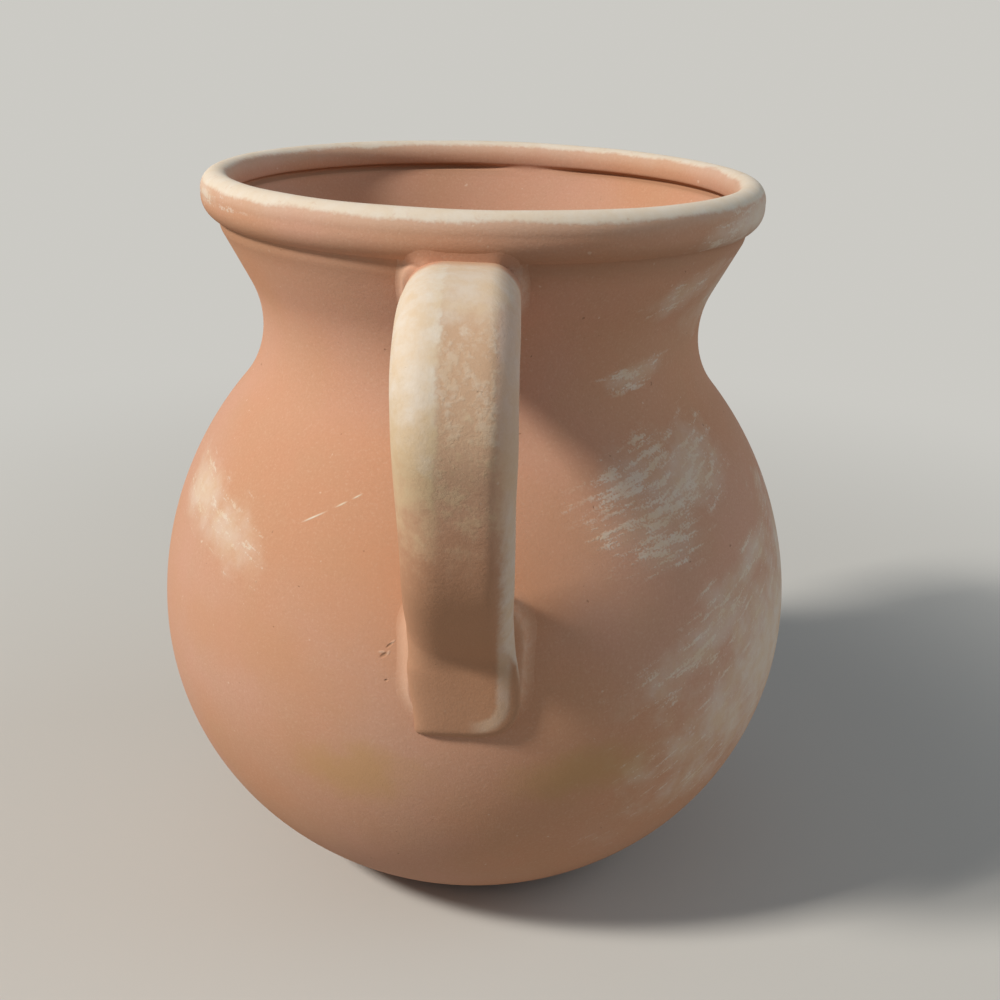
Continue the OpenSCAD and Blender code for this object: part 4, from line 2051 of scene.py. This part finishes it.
    def ridge_wash_and_highlight(self, d: Desk, s: Surface, blotch: Socket, fine: Socket) -> Given:
        """Pale edge along the right side, partly whitewash and partly a painted highlight, which ends above the foot's
        corner.

        Args:
            d: Desk of the material.
            s: Place and normal.
            blotch: Noise of the blotches.
            fine: Fine noise.

        Returns:
            The cover.
        """
        side = d.swayed(s.nx, (blotch, self.ridge_sway[0]), (fine, self.ridge_sway[1]))
        above = d.span(s.z, self.corner_z + self.ridge_low, self.corner_z + self.ridge_high)
        return d.times(d.span(side, *self.ridge_side), above)

    def bow_wash_and_highlight(self, d: Desk, s: Surface, fine: Socket, outer: Socket) -> Given:
        """Pale stroke, partly whitewash and partly a painted highlight, that goes on from the ridge and bends round the
        foot's right corner.

        Args:
            d: Desk of the material.
            s: Place and normal.
            fine: Fine noise.
            outer: 1 on the front half.

        Returns:
            The cover.
        """
        aside = d.math("MAXIMUM", d.minus(s.x, self.corner_x - self.bow_inset), 0.0)
        below = d.math("MINIMUM", d.minus(s.z, self.corner_z + self.bow_inset), 0.0)
        away = d.root(d.times(aside, aside), d.times(below, below), d.sway(fine, self.bow_sway))
        ring = d.times(d.span(away, *self.bow_inner), d.span(away, *self.bow_outer))
        low = d.span(s.z, self.foot_z + self.bow_high, self.foot_z + self.bow_low)
        return d.times(ring, d.span(s.x, *self.bow_x), outer, low, self.bow_share)


@dataclass(frozen=True)
class WipedClay(StainedClay):
    """Clay wiped smooth round the strap's ends, with a trace of whitewash on the right, a painted highlight on the left
    and painted shade at the edge under the coil.
    """

    root_x: float = 0.0
    root_w: float = 0.0
    feather: float = 5 * MM
    fine: Cloud = Cloud(500.0, 3.0, 0.65)
    fine_span: Span = (0.3, 0.7)
    right_side: Span = (0.2, 0.7)
    right_share: float = 0.18
    left_side: Span = (-0.15, -0.6)
    left_highlight_share: float = 0.15

    def colour(self, d: Desk, place: Socket) -> tuple[Given, Given]:
        """Clay with a painted highlight that makes it paler on the left, greyer on the right, and painted shade at the
        edge under the coil.

        Args:
            d: Desk of the material.
            place: Place on the object.

        Returns:
            Colour and relief.
        """
        p = self.effects.palette
        clay, relief = super().colour(d, place)
        s = d.surface(place)
        beside = d.minus(d.math("ABSOLUTE", d.minus(s.x, self.root_x)), self.root_w / 2)
        edge = d.span(beside, -self.feather / 2, self.feather / 2)
        # Painted shade at the edge under the coil, in umber.
        clay = d.blend(d.times(self.crease(d, place, 1.0), edge), clay, p.umber)
        trace = d.span(d.noise(place, self.fine), *self.fine_span)
        right = d.times(d.span(s.nx, *self.right_side), trace, self.right_share)
        # Painted highlight: the left-facing side made paler with speck.
        left = d.times(d.span(s.nx, *self.left_side), self.left_highlight_share)
        return d.blend(right, d.blend(left, clay, p.speck), self.chalk(d, place)), relief


@dataclass(frozen=True)
class Lamp:
    """A soft square lamp, with its place in degrees from the handle towards the right and above the floor."""

    name: str
    azimuth: float
    elevation: float
    away: float
    size: float
    watts: float
    tint: tuple[float, float, float]

    def build(self, aim: Vector) -> None:
        """Adds the lamp, facing a point.

        Args:
            aim: The point.
        """
        a, e = math.radians(self.azimuth), math.radians(self.elevation)
        direction = Vector((math.sin(a) * math.cos(e), -math.cos(a) * math.cos(e), math.sin(e)))
        data = bpy.data.lights.new(self.name, "AREA")
        data.shape = "SQUARE"
        data.size = self.size
        data.energy = self.watts
        data.color = self.tint
        lamp = bpy.data.objects.new(self.name, data)
        lamp.location = aim + direction * self.away
        lamp.rotation_euler = direction.to_track_quat("Z", "Y").to_euler()
        bpy.context.scene.collection.objects.link(lamp)


@dataclass
class Studio:
    """Plain floor, soft lamps and the camera at the photo's angle."""

    distance: float = 395.4 * MM
    height: float = 265.5 * MM
    pitch: float = math.radians(21.23)
    yaw: float = math.radians(1.06)
    roll: float = math.radians(1.64)
    turn: float = math.radians(2.3)
    lens: float = 46.8
    sensor: float = 36.0
    clip: float = 10 * MM
    floor_r: float = 6.0
    floor_sides: int = 128
    floor_colour: Colour = (0.60, 0.59, 0.56, 1)
    floor_roughness: float = 0.95
    floor_specular: float = 0.1
    backdrop: Colour = (0.60, 0.59, 0.555, 1)
    sky: Colour = (0.175, 0.180, 0.189, 1)
    bounce: Colour = (0.42, 0.41, 0.39, 1)
    fade: Span = (0.16, 0.60)
    aim_z: float = 110 * MM
    lamps: tuple[Lamp, ...] = (
        Lamp("key", -64, 40, 3.0, 0.42, 87, (1.0, 0.95, 0.88)),
        Lamp("fill", 92, 24, 1.6, 1.2, 6.5, (0.80, 0.92, 1.0)),
    )

    def camera(self) -> None:
        """Adds the camera."""
        data = bpy.data.cameras.new("camera")
        data.lens = self.lens
        data.sensor_width = self.sensor
        data.clip_start = self.clip
        camera = bpy.data.objects.new("camera", data)
        camera.matrix_world = (
            Matrix.Rotation(self.turn, 4, "Z")
            @ Matrix.Translation((0, -self.distance, self.height))
            @ Matrix.Rotation(-self.yaw, 4, "Z")
            @ Matrix.Rotation(QUARTER - self.pitch, 4, "X")
            @ Matrix.Rotation(self.roll, 4, "Z")
        )
        bpy.context.scene.collection.objects.link(camera)
        bpy.context.scene.camera = camera

    def floor(self) -> None:
        """Adds the floor, which isn't part of the object and fades into the backdrop."""
        Bench.clear()
        bpy.ops.mesh.primitive_circle_add(vertices=self.floor_sides, radius=self.floor_r, fill_type="NGON")
        piece = Bench.name_active("floor")
        material = bpy.data.materials.new("pale_floor")
        material.use_nodes = True
        d = Desk(material.node_tree)
        shader = material.node_tree.nodes["Principled BSDF"]
        shader.inputs["Roughness"].default_value = self.floor_roughness
        shader.inputs["Specular IOR Level"].default_value = self.floor_specular
        x, y, _ = d.parts(d.add("ShaderNodeTexCoord").outputs["Object"])
        away = d.root(d.times(x, x), d.times(y, y))
        seen = d.add("ShaderNodeLightPath").outputs["Is Camera Ray"]
        glow = d.add("ShaderNodeEmission")
        glow.inputs["Color"].default_value = self.backdrop
        d.feed(shader.inputs["Base Color"], d.blend(seen, self.bounce, self.floor_colour))
        faded = d.times(d.span(away, *self.fade), seen)
        mix = d.feed_all(d.add("ShaderNodeMixShader"), {0: faded, 1: shader.outputs[0], 2: glow.outputs[0]})
        d.feed(material.node_tree.nodes["Material Output"].inputs["Surface"], mix.outputs[0])
        piece.data.materials.append(material)

    def build(self) -> None:
        """Sets up the whole studio."""
        scene = bpy.context.scene
        scene.view_settings.view_transform = "Standard"
        self.camera()
        self.floor()
        for lamp in self.lamps:
            lamp.build(AXIS_Z * self.aim_z)
        world = bpy.data.worlds.new("studio")
        world.use_nodes = True
        d = Desk(world.node_tree)
        background = world.node_tree.nodes["Background"]
        rays = d.add("ShaderNodeLightPath").outputs
        seen = d.most(rays["Is Camera Ray"], rays["Is Glossy Ray"], rays["Is Transmission Ray"])
        d.feed(background.inputs["Color"], d.blend(seen, self.sky, self.backdrop))
        background.inputs["Strength"].default_value = 1.0
        scene.world = world


def main() -> None:
    """Builds the pitcher round its frame."""
    logging.basicConfig(level=logging.INFO, format="%(name)s: %(message)s")
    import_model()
    wall_low, wall_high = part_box("body_wall")
    _, coil_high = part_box("rim_coil")
    strap_low, strap_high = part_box("handle")
    _, lower_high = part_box("lower_lute")
    curve = VesselCurve(belly_r=wall_high.x, floor_h=wall_low.z, mouth_z=wall_high.z)
    body, base = BodyWall(curve), BaseSlab(curve)
    coil = RimCoil(curve, top_z=coil_high.z, lip_y=coil_high.y, outer_r=coil_high.x)
    handle = StrapHandle(curve, top_z=strap_high.z, reach=-strap_low.y, foot_z=strap_low.z)
    upper, lower = Lute.at_root(handle), Lute.at_foot(handle, lower_high.z)
    wall, slab, rim, strap = body.build(), base.build(), coil.build(), handle.build()
    front_y = strap_low.y - handle.width
    root_lute, foot_lute = upper.build(wall, strap, front_y, rim), lower.build(wall, strap, front_y)
    effects = Effects(Palette())
    clay = BrushedClay("brushed_clay", effects, mouth_z=curve.mouth_z).build()
    floor_clay = Finish("plain_clay", effects).build()
    washed = WashedRim(
        "washed_rim",
        effects,
        top_z=coil.top_z,
        mouth_z=curve.mouth_z,
        fold_r=coil.fold_r,
        groove_z=coil.groove_z,
        groove_gap=coil.groove_gap,
        groove_gap_w=coil.groove_gap_w,
    ).build()
    worn = WornStrap(
        "worn_strap",
        effects,
        top_z=handle.top_z,
        foot_z=handle.foot_z,
        root_r=curve.flare_r(handle.top_z),
        corner_x=handle.corner_middle.x,
        corner_z=handle.corner_middle.z,
    ).build()
    wiped = WipedClay(
        "wiped_clay", effects, mouth_z=curve.mouth_z, root_x=handle.root_shift, root_w=handle.width
    ).build()
    body.dress(wall, clay)
    base.dress(slab, floor_clay)
    coil.dress(rim, washed)
    handle.dress(strap, worn)
    upper.dress(root_lute, wiped)
    lower.dress(foot_lute, wiped)
    Studio().build()


if __name__ == "__main__":
    main()
